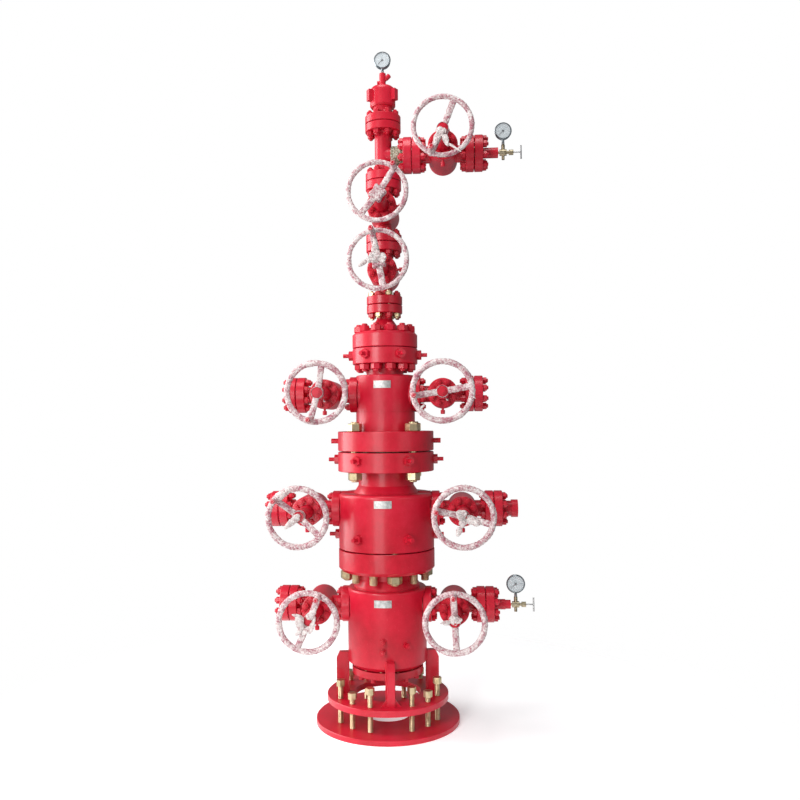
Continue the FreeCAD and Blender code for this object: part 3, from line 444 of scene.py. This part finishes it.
def facing(direction):
    """The turn that points +Z along a direction."""
    return Vector(direction).to_track_quat("Z", "Y").to_matrix().to_4x4()


def front_turn(angle):
    """Radians from +X towards +Y, from degrees that run from -Y towards +X."""
    return math.radians(angle - 90)


def round_stack(radius, angle, height=0.0):
    """A point at a radius and front angle about the stack's axis."""
    turn = front_turn(angle)
    return Vector((radius * math.cos(turn), radius * math.sin(turn), height))


def valve_middle(name):
    """The centre of a gate valve's body, on the run's axis."""
    low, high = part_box(name + "_body")
    return Vector(((low.x + high.x) / 2, 0, (low.z + high.z) / 2))


def bolt_circle(centre, direction, radius, count, first):
    """Places round a circle, each pointing along the direction and turned a little differently."""
    base = Matrix.Translation(centre) @ facing(direction)
    places = []
    for number in range(count):
        angle = math.radians(first + 360 * number / count)
        spot = Matrix.Translation((radius * math.cos(angle), radius * math.sin(angle), 0))
        places.append(base @ spot @ Matrix.Rotation(2.4 * number + angle, 4, "Z"))
    return places


# Nuts, studs and screws.

def nut(flats, thick):
    body = shape("cylinder", at=(0, 0, thick / 2), vertices=6, radius=flats / math.sqrt(3),
                 depth=thick)
    ease(body, flats * 0.06, both_ends=True)
    return body


def rod(radius, low, high, sides=12):
    bar = shape("cylinder", at=(0, 0, (low + high) / 2), vertices=sides, radius=radius,
                depth=high - low)
    ease(bar, radius * 0.16)
    return bar


def stud_nut(flats, thick, radius, proud, sunk=0.052):
    """A nut standing on the XY plane with its stud's end proud of it."""
    return join([nut(flats, thick), rod(radius, -sunk, thick + proud)])


def branch_end():
    """Where the tee's branch meets the back of its flange."""
    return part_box("wing_body")[0].x - GASKET_GAP - FLANGE


def small_joint_faces():
    """The back of every 2-1/16 inch flange: a name, its centre and the way its nuts point."""
    faces = []
    for name in SIDE_VALVES:
        low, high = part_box(name + "_body")
        middle = valve_middle(name).z
        faces.append((name + "_left_nuts", (low.x + FLANGE, 0, middle), (1, 0, 0)))
        faces.append((name + "_right_nuts", (high.x - FLANGE, 0, middle), (-1, 0, 0)))
    for name in MASTERS:
        low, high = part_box(name + "_body")
        faces.append((name + "_foot_nuts", (0, 0, low.z + FLANGE), (0, 0, 1)))
        faces.append((name + "_head_nuts", (0, 0, high.z - FLANGE), (0, 0, -1)))
    for name, outward in (("casing_left", -1), ("spool_left", -1), ("tubing_left", -1),
                          ("tubing_right", 1), ("casing_right", 1), ("spool_right", 1),
                          ("wing", 1)):
        low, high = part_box(name + "_body")
        end = high.x if outward > 0 else low.x
        face = end + outward * (GASKET_GAP + FLANGE)
        faces.append((name + "_end_nuts", (face, 0, valve_middle(name).z), (outward, 0, 0)))
    low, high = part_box("flow_tee")
    branch = (branch_end(), 0, valve_middle("wing").z)
    faces.append(("tee_foot_nuts", (0, 0, low.z + FLANGE), (0, 0, 1)))
    faces.append(("tee_head_nuts", (0, 0, high.z - CAP_FLANGE), (0, 0, -1)))
    faces.append(("tee_branch_nuts", branch, (-1, 0, 0)))
    faces.append(("cap_nuts", (0, 0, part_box("cap_body")[0].z + CAP_FLANGE), (0, 0, 1)))
    return faces


def small_circle(centre, direction):
    """The eight places of a 2-1/16 inch joint's nuts."""
    return bolt_circle(centre, direction, SMALL_CIRCLE, 8, 22.5)


def flange_nuts():
    pattern = stud_nut(flats=0.0365, thick=0.023, radius=0.0111, proud=0.009)
    for name, centre, direction in small_joint_faces():
        places = small_circle(centre, direction)
        if name == "lower_master_foot_nuts":
            keep(stamp(pattern, places[0::2]), name + "_plated", ZINC)
            places = places[1::2]
        keep(stamp(pattern, places), name, PAINT)
    neck = (0, 0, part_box("tree_adapter")[1].z - FLANGE)
    places = small_circle(neck, (0, 0, -1))
    keep(stamp(pattern, places[0::2]), "adapter_nuts_plated", ZINC)
    keep(stamp(pattern, places[1::2]), "adapter_nuts", PAINT)
    discard(pattern)


def bonnet_nuts():
    pattern = stud_nut(flats=0.034, thick=0.022, radius=0.0105, proud=0.008, sunk=0.006)
    for name in SIDE_VALVES + MASTERS:
        centre = valve_middle(name)
        centre.y = BONNET_FACE
        places = bolt_circle(centre, (0, -1, 0), BONNET_CIRCLE, 8, 22.5)
        keep(stamp(pattern, places), name + "_bonnet_nuts", PAINT)
    discard(pattern)


def main_joint_nuts():
    """The 12-stud joint under the tree's adapter, nuts above and below."""
    pattern = stud_nut(flats=0.0556, thick=0.035, radius=0.0175, proud=0.012, sunk=MAIN_FLANGE)
    for name, height, way in (
            ("adapter_joint_nuts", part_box("tree_adapter")[0].z + MAIN_FLANGE, 1),
            ("tubing_joint_nuts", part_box("tubing_head")[1].z - MAIN_FLANGE, -1)):
        places = bolt_circle((0, 0, height), (0, 0, way), MAIN_CIRCLE, 12, 15)
        keep(stamp(pattern, places), name, PAINT)
    discard(pattern)


def big_joint_studs():
    """Plated studs of the two 11 inch joints, with nuts on four of each circle."""
    nutted = stud_nut(flats=0.0762, thick=0.048, radius=0.0238, proud=0.010, sunk=0.15)
    plain = rod(0.0238, -0.15, 0.056)
    under_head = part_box("casing_head")[1].z - HEAD_FLANGE
    nuts = []
    bare = []
    for number in range(12):
        angle = 15 + 30 * number
        spot = Matrix.Translation(round_stack(LARGE_CIRCLE, angle, under_head))
        place = spot @ facing((0, 0, -1)) @ Matrix.Rotation(angle * 1.7, 4, "Z")
        (nuts if angle % 90 == 15 else bare).append(place)
    keep(stamp(nutted, nuts), "head_joint_nuts", ZINC)
    keep(stamp(plain, bare), "head_joint_studs", ZINC_THREAD)
    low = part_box("tubing_head")[0].z
    for name, height, way in (
            ("spool_joint_nuts_below", low - SPOOL_GAP - SPOOL_FLANGE, -1),
            ("spool_joint_nuts_above", low + SPOOL_FLANGE, 1)):
        places = []
        for angle in (45, 135, 225, 315):
            spot = Matrix.Translation(round_stack(LARGE_CIRCLE, angle, height))
            turn = Matrix.Rotation(angle * 0.9, 4, "Z")
            places.append(spot @ facing((0, 0, way)) @ turn)
        keep(stamp(nutted, places), name, ZINC)
    discard(nutted, plain)


def collar_screws():
    """Cap screws that pull the locking collar up, heads below it."""
    head = shape("cylinder", at=(0, 0, 0.011), vertices=18, radius=0.0165, depth=0.022)
    edit(head, lambda centre, normal: normal.z > 0.9)
    bpy.ops.mesh.inset(thickness=0.0065, depth=0)
    bpy.ops.mesh.extrude_region_move(TRANSFORM_OT_translate={"value": (0, 0, -0.010)})
    deselect()
    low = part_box("lock_collar")[0].z
    places = bolt_circle((0, 0, low), (0, 0, -1), COLLAR_CIRCLE, 12, 22)
    keep(stamp(head, places), "collar_screws", PAINT)
    rod_end = rod(0.010, 0, COLLAR_GAP)
    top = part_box("casing_head")[0].z - COLLAR_GAP
    places = bolt_circle((0, 0, top), (0, 0, 1), COLLAR_CIRCLE, 12, 22)
    keep(stamp(rod_end, places), "collar_rods", ZINC)
    discard(head, rod_end)


def on_wall(radius, angle, height):
    """A place on an upright cylinder, +Z pointing out of it."""
    out = round_stack(1, angle)
    return Matrix.Translation(out * radius + Vector((0, 0, height))) @ facing(out)


def thread_ridges(radius, low, high, pitch):
    """A sleeve of V-shaped ridges round the Z axis."""
    ridges = shape("circle", vertices=16, radius=radius, fill_type="NOTHING")
    edit(ridges, every_face)
    bpy.ops.mesh.select_all(action="SELECT")
    bpy.ops.transform.translate(value=(0, 0, low))
    for _ in range(int((high - low) / pitch)):
        for growth in (1.075, 1 / 1.075):
            bpy.ops.mesh.extrude_edges_move(TRANSFORM_OT_translate={"value": (0, 0, pitch / 2)})
            bpy.ops.transform.resize(value=(growth, growth, 1))
    bpy.ops.mesh.select_all(action="SELECT")
    bpy.ops.mesh.normals_make_consistent(inside=False)
    deselect()
    return ridges


def base_screw_threads():
    """Threads on the shanks of the jack and tie screws, above and below the ring."""
    plate_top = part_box("base_plate")[1].z
    ring_low, ring_high = (corner.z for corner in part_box("base_ring"))
    head_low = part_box("base_screws")[1].z - 0.037
    below = thread_ridges(SCREW, plate_top, ring_low - 0.001, 0.005)
    above = thread_ridges(SCREW, ring_high, head_low - 0.002, 0.005)
    short = thread_ridges(SCREW, ring_high, ring_high + 0.026, 0.005)
    lower, tall, low_heads = [], [], []
    for step in range(16):
        if step % 4 == 0:
            continue
        spot = Matrix.Translation(round_stack(SCREW_CIRCLE, BASE_TURN + 22.5 * step))
        lower.append(spot)
        (low_heads if step % 4 == 2 else tall).append(spot)
    threads = join([stamp(below, lower), stamp(above, tall), stamp(short, low_heads)])
    keep(threads, "base_screw_threads", ZINC, angle=25)
    discard(below, above, short)


def head_plugs():
    """Hexagon test plugs on the casing head's barrel."""
    collar = shape("cylinder", at=(0, 0, 0.001), vertices=24, radius=0.021, depth=0.014)
    hexagon = nut(0.030, 0.026)
    tip = rod(0.008, 0.02, 0.034)
    pattern = join([collar, hexagon, tip])
    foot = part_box("casing_head")[0].z
    places = [on_wall(HEAD_WALL, angle, foot + rise)
              for angle, rise in ((-2, 0.179), (-2, 0.121), (32, 0.152))]
    keep(stamp(pattern, places), "head_plugs", PAINT)
    discard(pattern)


def nameplates():
    """Blank plates bent to the barrels, with a rivet in each corner."""
    wide = 0.103
    tall = 0.044
    margin = 0.006
    for body, radius, angle, rise in (("casing_head", HEAD_WALL, -2, 0.402),
                                      ("casing_spool", SPOOL_WALL, 0, 0.283),
                                      ("tubing_head", TUBING_WALL, -2, 0.395)):
        name = body + "_tag"
        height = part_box(body)[0].z + rise
        plate = shape("grid", x_subdivisions=24, y_subdivisions=2, size=1)
        for vertex in plate.data.vertices:
            across, up, _ = vertex.co
            turn = front_turn(angle) + across * wide / radius
            vertex.co = ((radius + 0.0012) * math.cos(turn), (radius + 0.0012) * math.sin(turn),
                         height + up * tall)
        modify(plate, "SOLIDIFY", thickness=0.0011, offset=1)
        modify(plate, "BEVEL", width=0.0003, segments=1)
        keep(plate, name, TAG)
        rivet = shape("uv_sphere", segments=10, ring_count=6, radius=0.0022)
        edit(rivet, every_face)
        bpy.ops.transform.resize(value=(1, 1, 0.5))
        deselect()
        spots = []
        for side in (-1, 1):
            for end in (-1, 1):
                tilt = math.degrees(side * (wide / 2 - margin) / radius)
                level = height + end * (tall / 2 - margin)
                spots.append(on_wall(radius + 0.0022, angle + tilt, level))
        keep(stamp(rivet, spots), name + "_rivets", STEEL)
        discard(rivet)


# Gauges.

def round_plate(radius, depth, height):
    """A disc about the Z axis with its front edge eased."""
    plate = shape("cylinder", at=(0, 0, height), vertices=64, radius=radius, depth=depth)
    ease(plate, 0.0004)
    return plate


def dial_angle(number):
    """Radians from +X of a division on the dial."""
    return math.radians(DIAL_ZERO - DIAL_SWEEP * number / DIAL_STEPS)


def dial_ticks(upright, inner):
    """Short lines round the scale, longer and bolder at each number."""
    marks = []
    tick = shape("cube", size=1)
    for number in range(DIAL_STEPS + 1):
        numbered = number % DIAL_NUMBER_EVERY == 0
        long, wide = (0.0050, 0.0006) if numbered else (0.0028, 0.0003)
        reach = inner - 0.004 - long / 2
        marks.append(upright @ Matrix.Rotation(dial_angle(number), 4, "Z")
                     @ Matrix.Translation((reach, 0, DIAL_PRINT))
                     @ Matrix.Diagonal((long, wide, 0.0003, 1)))
    ticks = stamp(tick, marks)
    discard(tick)
    return ticks


def dial_arc(upright, inner):
    """The thin line round the scale, open at the bottom."""
    arc = shape("circle", vertices=96, radius=inner - 0.0035, fill_type="NOTHING")
    hold(arc)
    bpy.ops.object.mode_set(mode="EDIT")
    bpy.ops.mesh.select_all(action="SELECT")
    bpy.ops.mesh.extrude_edges_move()
    bpy.ops.transform.resize(value=(0.992, 0.992, 1))
    bpy.ops.object.mode_set(mode="OBJECT")
    edit(arc, lambda centre, normal: centre.y < -abs(centre.x) * 0.98)
    bpy.ops.mesh.delete(type="FACE")
    deselect()
    modify(arc, "SOLIDIFY", thickness=0.0003)
    line = stamp(arc, [upright @ Matrix.Translation((0, 0, DIAL_PRINT))])
    discard(arc)
    return line


def dial_numbers(upright, inner, height):
    """Plain numerals inside the scale."""
    words = []
    reach = inner - 0.0140
    for number in range(0, DIAL_STEPS + 1, DIAL_NUMBER_EVERY):
        angle = dial_angle(number)
        bpy.ops.object.text_add()
        word = bpy.context.object
        word.data.body = str(number * 2)
        word.data.size = height
        word.data.align_x = "CENTER"
        word.data.align_y = "CENTER"
        word.data.extrude = 0.00012
        bpy.ops.object.convert(target="MESH")
        spot = Matrix.Translation((reach * math.cos(angle), reach * math.sin(angle), DIAL_PRINT))
        word.data.transform(upright @ spot)
        words.append(word)
    return words


def dial_hand(inner, hub):
    """A tapering pointer along +X on a round hub."""
    middle = (inner * 0.32, 0, 0.0028)
    boss = shape("cylinder", at=(0, 0, 0.0032), vertices=24, radius=hub, depth=0.0022)
    needle = shape("cube", at=middle, size=1)
    edit(needle, every_face)
    bpy.ops.transform.resize(value=(inner * 0.95, 0.0050, 0.0009), center_override=middle)
    deselect()
    edit(needle, lambda centre, normal: normal.x > 0.9)
    bpy.ops.transform.resize(value=(1, 0.25, 1))
    deselect()
    return join([boss, needle])


def gauge_face(name, radius):
    """Dial, scale, pointer, glass and hexagon foot of a gauge."""
    low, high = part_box(name)
    across = (low.x + high.x) / 2
    inner = radius - 0.0075
    upright = Matrix.Translation((across, -0.014, high.z - radius)) \
        @ Matrix.Rotation(math.pi / 2, 4, "X")
    dial = round_plate(inner, 0.0012, 0.0006)
    keep(stamp(dial, [upright]), name + "_dial", DIAL)
    scale = [dial_ticks(upright, inner), dial_arc(upright, inner)]
    scale += dial_numbers(upright, inner, radius * 0.11)
    keep(join(scale), name + "_scale", SCALE_INK)
    hand = dial_hand(inner, radius * 0.12)
    turned = upright @ Matrix.Rotation(math.radians(DIAL_POINTER), 4, "Z")
    keep(stamp(hand, [turned]), name + "_pointer", INK)
    glass = round_plate(radius - 0.0072, 0.0014, 0.0062)
    keep(stamp(glass, [upright]), name + "_glass", GLASS)
    fitting = nut(0.017, 0.013)
    foot = Matrix.Translation((across, 0, low.z + 0.002))
    keep(stamp(fitting, [foot]), name + "_fitting", STEEL)
    discard(dial, hand, glass, fitting)


# Film on the handwheels.

def rim_wrap(slack):
    """Film wound round the rim: a tube with a low helical edge and slack lumps."""
    middle = RIM + slack
    tube = shape("torus", major_segments=224, minor_segments=14, major_radius=middle,
                 minor_radius=RIM_FILM + slack)
    for vertex in tube.data.vertices:
        across, up, out = vertex.co
        round_rim = math.atan2(up, across)
        spoke = math.hypot(across, up) - middle
        section = math.atan2(out, spoke)
        wind = (round_rim * 46 + section) / (2 * math.pi) % 1
        swell = 1 + 0.13 * wind ** 3 + 0.05 * math.sin(round_rim * 9 + 1.3)
        reach = middle + spoke * swell
        vertex.co = (reach * math.cos(round_rim), reach * math.sin(round_rim), out * swell)
    crumple(tube, 0.014, 0.0022)
    return tube


def dished(piece):
    """Slope a piece made in the rim's plane back towards the hub, as the spokes slope."""
    for vertex in piece.data.vertices:
        out_to_rim = min(math.hypot(vertex.co.x, vertex.co.y) / RIM, 1)
        vertex.co.z -= WHEEL_DISH * (1 - out_to_rim)
    return piece


def spoke_wrap(low, high, wide, deep):
    sleeve = shape("cylinder", at=((low + high) / 2, 0, 0), turn=(0, math.pi / 2, 0), vertices=10,
                   radius=0.5, depth=high - low)
    edit(sleeve, every_face)
    bpy.ops.transform.resize(value=(1, wide, deep))
    deselect()
    cut_up(sleeve, 17, lambda centre, normal: abs(normal.x) < 0.5)
    crumple(sleeve, 0.016, 0.0040)
    return dished(sleeve)


def knob_wrap():
    """Film round the crank knob, drawn in over its end so that a red spot stays bare."""
    foot, tip = -0.013, 0.1022
    sleeve = shape("cylinder", at=(0, 0, (foot + tip) / 2), vertices=24, radius=1,
                   depth=tip - foot, end_fill_type="NOTHING")
    cut_up(sleeve, 9)
    for vertex in sleeve.data.vertices:
        height = vertex.co.z
        radius = 0.0195 - 0.0045 * min(max((height - 0.008) / 0.022, 0), 1)
        if height > tip - 0.009:
            radius = 0.0135
        if height > tip - 0.001:
            radius = 0.0082
        turn = math.atan2(vertex.co.y, vertex.co.x)
        vertex.co.x = KNOB_OFFSET + radius * math.cos(turn)
        vertex.co.y = radius * math.sin(turn)
    modify(sleeve, "SOLIDIFY", thickness=0.0012, offset=0)
    crumple(sleeve, 0.012, 0.0018)
    return sleeve


def covered_hub():
    """Film over the whole hub, drawn out a little at its corners."""
    middle = 0.014 - WHEEL_DISH
    block = shape("cube", at=(0, 0, middle), size=0.074)
    modify(block, "BEVEL", width=0.012, segments=3)
    cut_up(block, 5)
    for vertex in block.data.vertices:
        corner = abs(vertex.co.x * vertex.co.y) / 0.039 ** 2
        spread = 0.84 + 0.30 * corner
        vertex.co.x *= spread
        vertex.co.y *= spread
        vertex.co.z = middle + (vertex.co.z - middle) * 0.85
    crumple(block, 0.018, 0.005)
    return block


def bare_faced_hub():
    """Film round the hub's side only."""
    ring = shape("cylinder", at=(0, 0, -0.002 - WHEEL_DISH), vertices=40, radius=0.0335,
                 depth=0.052, end_fill_type="NOTHING")
    cut_up(ring, 3)
    modify(ring, "SOLIDIFY", thickness=0.002, offset=-1)
    crumple(ring, 0.012, 0.0030)
    return ring


def bunch(across, up, out, wide, tall, tilt):
    """A crumpled handful of film, long axis tilted from +X."""
    lump = shape("ico_sphere", subdivisions=5, radius=1)
    for vertex in lump.data.vertices:
        taper = 1 - 0.35 * vertex.co.x
        vertex.co = (vertex.co.x * wide / 2, vertex.co.y * taper * tall / 2,
                     vertex.co.z * taper * min(wide, tall) * 0.42)
    place = Matrix.Translation((across, up, out)) @ Matrix.Rotation(math.radians(tilt), 4, "Z")
    lump.data.transform(place)
    crumple(lump, 0.030, min(wide, tall) * 0.40)
    crumple(lump, 0.011, min(wide, tall) * 0.16)
    return dished(lump)


# Loose film on each wheel in the wheel's plane: across, up, out, long side, short side, tilt.
LOOSE = {
    "wing": [
        (-0.010, -0.030, 0.026, 0.070, 0.050, -95),
        (-0.034, -0.076, 0.030, 0.080, 0.036, -108),
        (0.016, -0.078, 0.024, 0.084, 0.034, -72),
        (0.060, -0.122, 0.020, 0.100, 0.013, -38),
    ],
    "upper_master": [],
    "lower_master": [
        (-0.024, 0.010, 0.040, 0.090, 0.060, 200),
        (0.024, 0.010, 0.038, 0.056, 0.048, 60),
        (-0.084, -0.022, 0.030, 0.062, 0.022, 218),
        (-0.012, 0.070, 0.014, 0.110, 0.040, 96),
    ],
    "tubing_left": [
        (-0.036, 0.150, 0.004, 0.050, 0.022, 200),
    ],
    "tubing_right": [
        (-0.118, -0.094, 0.012, 0.062, 0.012, 226),
        (0.170, -0.036, 0.012, 0.034, 0.010, -40),
    ],
    "spool_left": [
        (-0.030, -0.022, 0.036, 0.112, 0.040, 222),
        (-0.072, 0.136, 0.010, 0.120, 0.040, 38),
    ],
    "spool_right": [
        (-0.012, 0.016, 0.044, 0.062, 0.058, 20),
        (-0.006, -0.030, 0.030, 0.062, 0.040, -100),
        (-0.028, -0.078, 0.026, 0.050, 0.034, -110),
        (0.050, -0.020, 0.020, 0.090, 0.044, -24),
    ],
    "casing_left": [
        (-0.044, -0.008, 0.036, 0.106, 0.046, -78),
        (-0.064, 0.038, 0.036, 0.050, 0.022, 160),
        (0.024, -0.014, 0.034, 0.100, 0.024, 70),
        (-0.012, -0.046, 0.030, 0.066, 0.030, 40),
        (0.020, 0.044, 0.022, 0.090, 0.040, 56),
        (-0.050, -0.052, 0.034, 0.050, 0.030, 220),
    ],
    "casing_right": [
        (-0.052, 0.002, 0.032, 0.054, 0.026, 176),
        (0.004, 0.014, 0.024, 0.070, 0.050, 10),
    ],
}
COVERED_HUBS = ("upper_master", "lower_master")
TIGHT_RIMS = ("wing", "upper_master", "lower_master")


def wheel_films():
    tight_rim = rim_wrap(0)
    slack_rim = rim_wrap(RIM_SLACK)
    knob = knob_wrap()
    spokes = [spoke_wrap(0.030, 0.150, 0.036, 0.023), spoke_wrap(-0.150, -0.030, 0.036, 0.023)]
    bare_hub = bare_faced_hub()
    full_hub = covered_hub()
    for joint in frame["joints"]:
        name = joint["name"].removesuffix("_spin")
        if name not in KNOB_DIRECTION:
            continue
        body = name + "_handwheel"
        centre = Vector(joint["pos_m"])
        centre.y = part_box(body)[0].y + KNOB_REACH
        upright = Matrix.Translation(centre) @ Matrix.Rotation(math.pi / 2, 4, "X")
        turned = upright @ Matrix.Rotation(math.radians(KNOB_DIRECTION[name]), 4, "Z")
        hub = full_hub if name in COVERED_HUBS else bare_hub
        rim = tight_rim if name in TIGHT_RIMS else slack_rim
        wound = [stamp(piece, [turned]) for piece in (rim, knob, *spokes, hub)]
        keep(join(wound), name + "_film", FILM, body=body, angle=60)
        lumps = [bunch(*sizes) for sizes in LOOSE[name]]
        if lumps:
            loose = join(lumps)
            loose.data.transform(upright)
            keep(loose, name + "_loose_film", BUNCH, body=body, angle=60)
        node = frame["nodes"][body]
        node.data.materials.clear()
        node.data.materials.append(PAINT)
    discard(tight_rim, slack_rim, knob, bare_hub, full_hub, *spokes)


# Small pieces on the stack.

def tee_sleeve():
    """Knotted net sleeve slipped over the tee's branch."""
    start = 0.048
    end = branch_end()
    middle = ((start + end) / 2, 0, valve_middle("wing").z)
    sleeve = shape("cylinder", at=middle, turn=(0, math.pi / 2, 0), vertices=26, radius=0.0560,
                   depth=end - start, end_fill_type="NOTHING")
    cut_up(sleeve, 11)
    modify(sleeve, "SOLIDIFY", thickness=0.004, offset=-1)
    modify(sleeve, "SUBSURF", levels=1, render_levels=1)
    crumple(sleeve, 0.010, 0.0075, kind="VORONOI")
    keep(sleeve, "tee_sleeve", NET, angle=60)


def bleed_fittings():
    """Bright ball-headed bleed screws in some bonnets."""
    stem = shape("cylinder", at=(0, 0, 0.006), vertices=16, radius=0.004, depth=0.012)
    ball = shape("uv_sphere", at=(0, 0, 0.015), segments=16, ring_count=10, radius=0.0065)
    pattern = join([stem, ball])
    edit(pattern, lambda centre, normal: normal.z > 0.85 and centre.z > 0.02)
    bpy.ops.mesh.inset(thickness=0.001, depth=-0.001)
    deselect()
    for name in ("tubing_left", "tubing_right", "wing"):
        spot = Matrix.Translation(valve_middle(name) + Vector((0.020, -0.345, -0.034)))
        piece = stamp(pattern, [spot @ facing((0.45, -0.5, -0.74))])
        keep(piece, name + "_bleed_fitting", STEEL)
    discard(pattern)


def weld_beads():
    """Beads up both sides of each gusset where it meets the casing head."""
    low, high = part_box("base_gussets")
    tall = high.z - low.z - 0.004
    bead = shape("cylinder", at=(0, 0, tall / 2), vertices=6, radius=0.0055, depth=tall)
    cut_up(bead, 22, lambda centre, normal: abs(normal.z) < 0.5)
    crumple(bead, 0.008, 0.0030)
    places = []
    for quarter in range(4):
        for side in (-1, 1):
            across = side * 0.0235
            out = math.sqrt(HEAD_WALL ** 2 - across ** 2) + 0.001
            turn = Matrix.Rotation(front_turn(BASE_TURN + 90 * quarter), 4, "Z")
            places.append(turn @ Matrix.Translation((out, across, low.z + 0.002)))
    keep(stamp(bead, places), "gusset_welds", CAST_PAINT)
    discard(bead)


def finish_cad():
    """Give every CAD node of the stack its finish."""
    special = {"base_screws": ZINC, "ring_gaskets": DARK_STEEL,
               "casing_needle_valve": BRASS, "wing_needle_valve": BRASS,
               "casing_tee_handle": STEEL, "wing_tee_handle": STEEL,
               "casing_gauge": BEZEL, "wing_gauge": BEZEL, "top_gauge": BEZEL}
    cast = ("casing_head", "casing_spool", "tubing_head", "valve_bonnets", "flow_tee",
            "cap_union", "tree_adapter")
    for name, node in frame["nodes"].items():
        rough = name in cast or name.endswith("_body")
        node.data.materials.clear()
        node.data.materials.append(special.get(name, CAST_PAINT if rough else PAINT))


# Floor, lights and camera.

def studio():
    """A round pale floor, soft lamps, and a world that is white behind but lights dimly."""
    deselect()
    bpy.ops.mesh.primitive_circle_add(vertices=96, radius=2.7, fill_type="NGON")
    floor = bpy.context.object
    floor.name = "floor"
    floor.data.materials.append(floor_finish())
    world = bpy.data.worlds.new("studio")
    bpy.context.scene.world = world
    world.use_nodes = True
    nodes = world.node_tree.nodes
    links = world.node_tree.links
    dim = nodes["Background"]
    dim.inputs["Color"].default_value = (0.93, 0.95, 1.0, 1)
    dim.inputs["Strength"].default_value = 0.26
    white = nodes.new("ShaderNodeBackground")
    white.inputs["Color"].default_value = (1, 1, 1, 1)
    path = nodes.new("ShaderNodeLightPath")
    choice = nodes.new("ShaderNodeMixShader")
    links.new(path.outputs["Is Camera Ray"], choice.inputs[0])
    links.new(dim.outputs[0], choice.inputs[1])
    links.new(white.outputs[0], choice.inputs[2])
    links.new(choice.outputs[0], nodes["World Output"].inputs["Surface"])
    for name, spot, aim, wide, tall, power in (
            ("key", (-2.6, -4.6, 3.4), (0, 0, 2.0), 2.0, 2.0, 160),
            ("side", (-4.4, 0.6, 3.2), (0, 0, 2.6), 3.4, 6.0, 360),
            ("fill", (4.0, -3.6, 2.6), (0, 0, 1.8), 3.0, 3.0, 35),
            ("top", (-0.4, -1.4, 7.0), (0, 0, 2.0), 2.6, 2.6, 140),
            ("low", (-1.0, -4.4, 1.0), (0, 0, 0.8), 1.8, 1.8, 50)):
        lamp = bpy.data.lights.new(name, "AREA")
        lamp.shape = "RECTANGLE"
        lamp.size = wide
        lamp.size_y = tall
        lamp.energy = power
        holder = bpy.data.objects.new(name, lamp)
        holder.location = spot
        holder.rotation_euler = (Vector(aim) - Vector(spot)).to_track_quat("-Z", "Y").to_euler()
        bpy.context.scene.collection.objects.link(holder)


def camera():
    """Level camera, a little to the right of straight ahead."""
    azimuth = math.radians(4.2)
    roll = math.radians(0.52)
    distance = 5.0
    height = 1.816
    lens = bpy.data.cameras.new("camera")
    lens.sensor_width = 36
    lens.lens = 36.87
    lens.shift_x = 0.018
    lens.shift_y = 0.02625
    holder = bpy.data.objects.new("camera", lens)
    bpy.context.scene.collection.objects.link(holder)
    back = Vector((math.sin(azimuth), -math.cos(azimuth), 0))
    right = Vector((math.cos(azimuth), math.sin(azimuth), 0))
    up = Vector((0, 0, 1))
    leaning_right = right * math.cos(roll) - up * math.sin(roll)
    leaning_up = up * math.cos(roll) + right * math.sin(roll)
    turn = Matrix((leaning_right, leaning_up, back)).transposed().to_4x4()
    holder.matrix_world = Matrix.Translation(back * distance + up * height) @ turn
    bpy.context.scene.camera = holder
    bpy.context.scene.view_settings.view_transform = "Standard"


finish_cad()
flange_nuts()
bonnet_nuts()
main_joint_nuts()
big_joint_studs()
collar_screws()
base_screw_threads()
head_plugs()
nameplates()
gauge_face("casing_gauge", 0.056)
gauge_face("wing_gauge", 0.0515)
gauge_face("top_gauge", 0.0515)
wheel_films()
tee_sleeve()
bleed_fittings()
weld_beads()
studio()
camera()
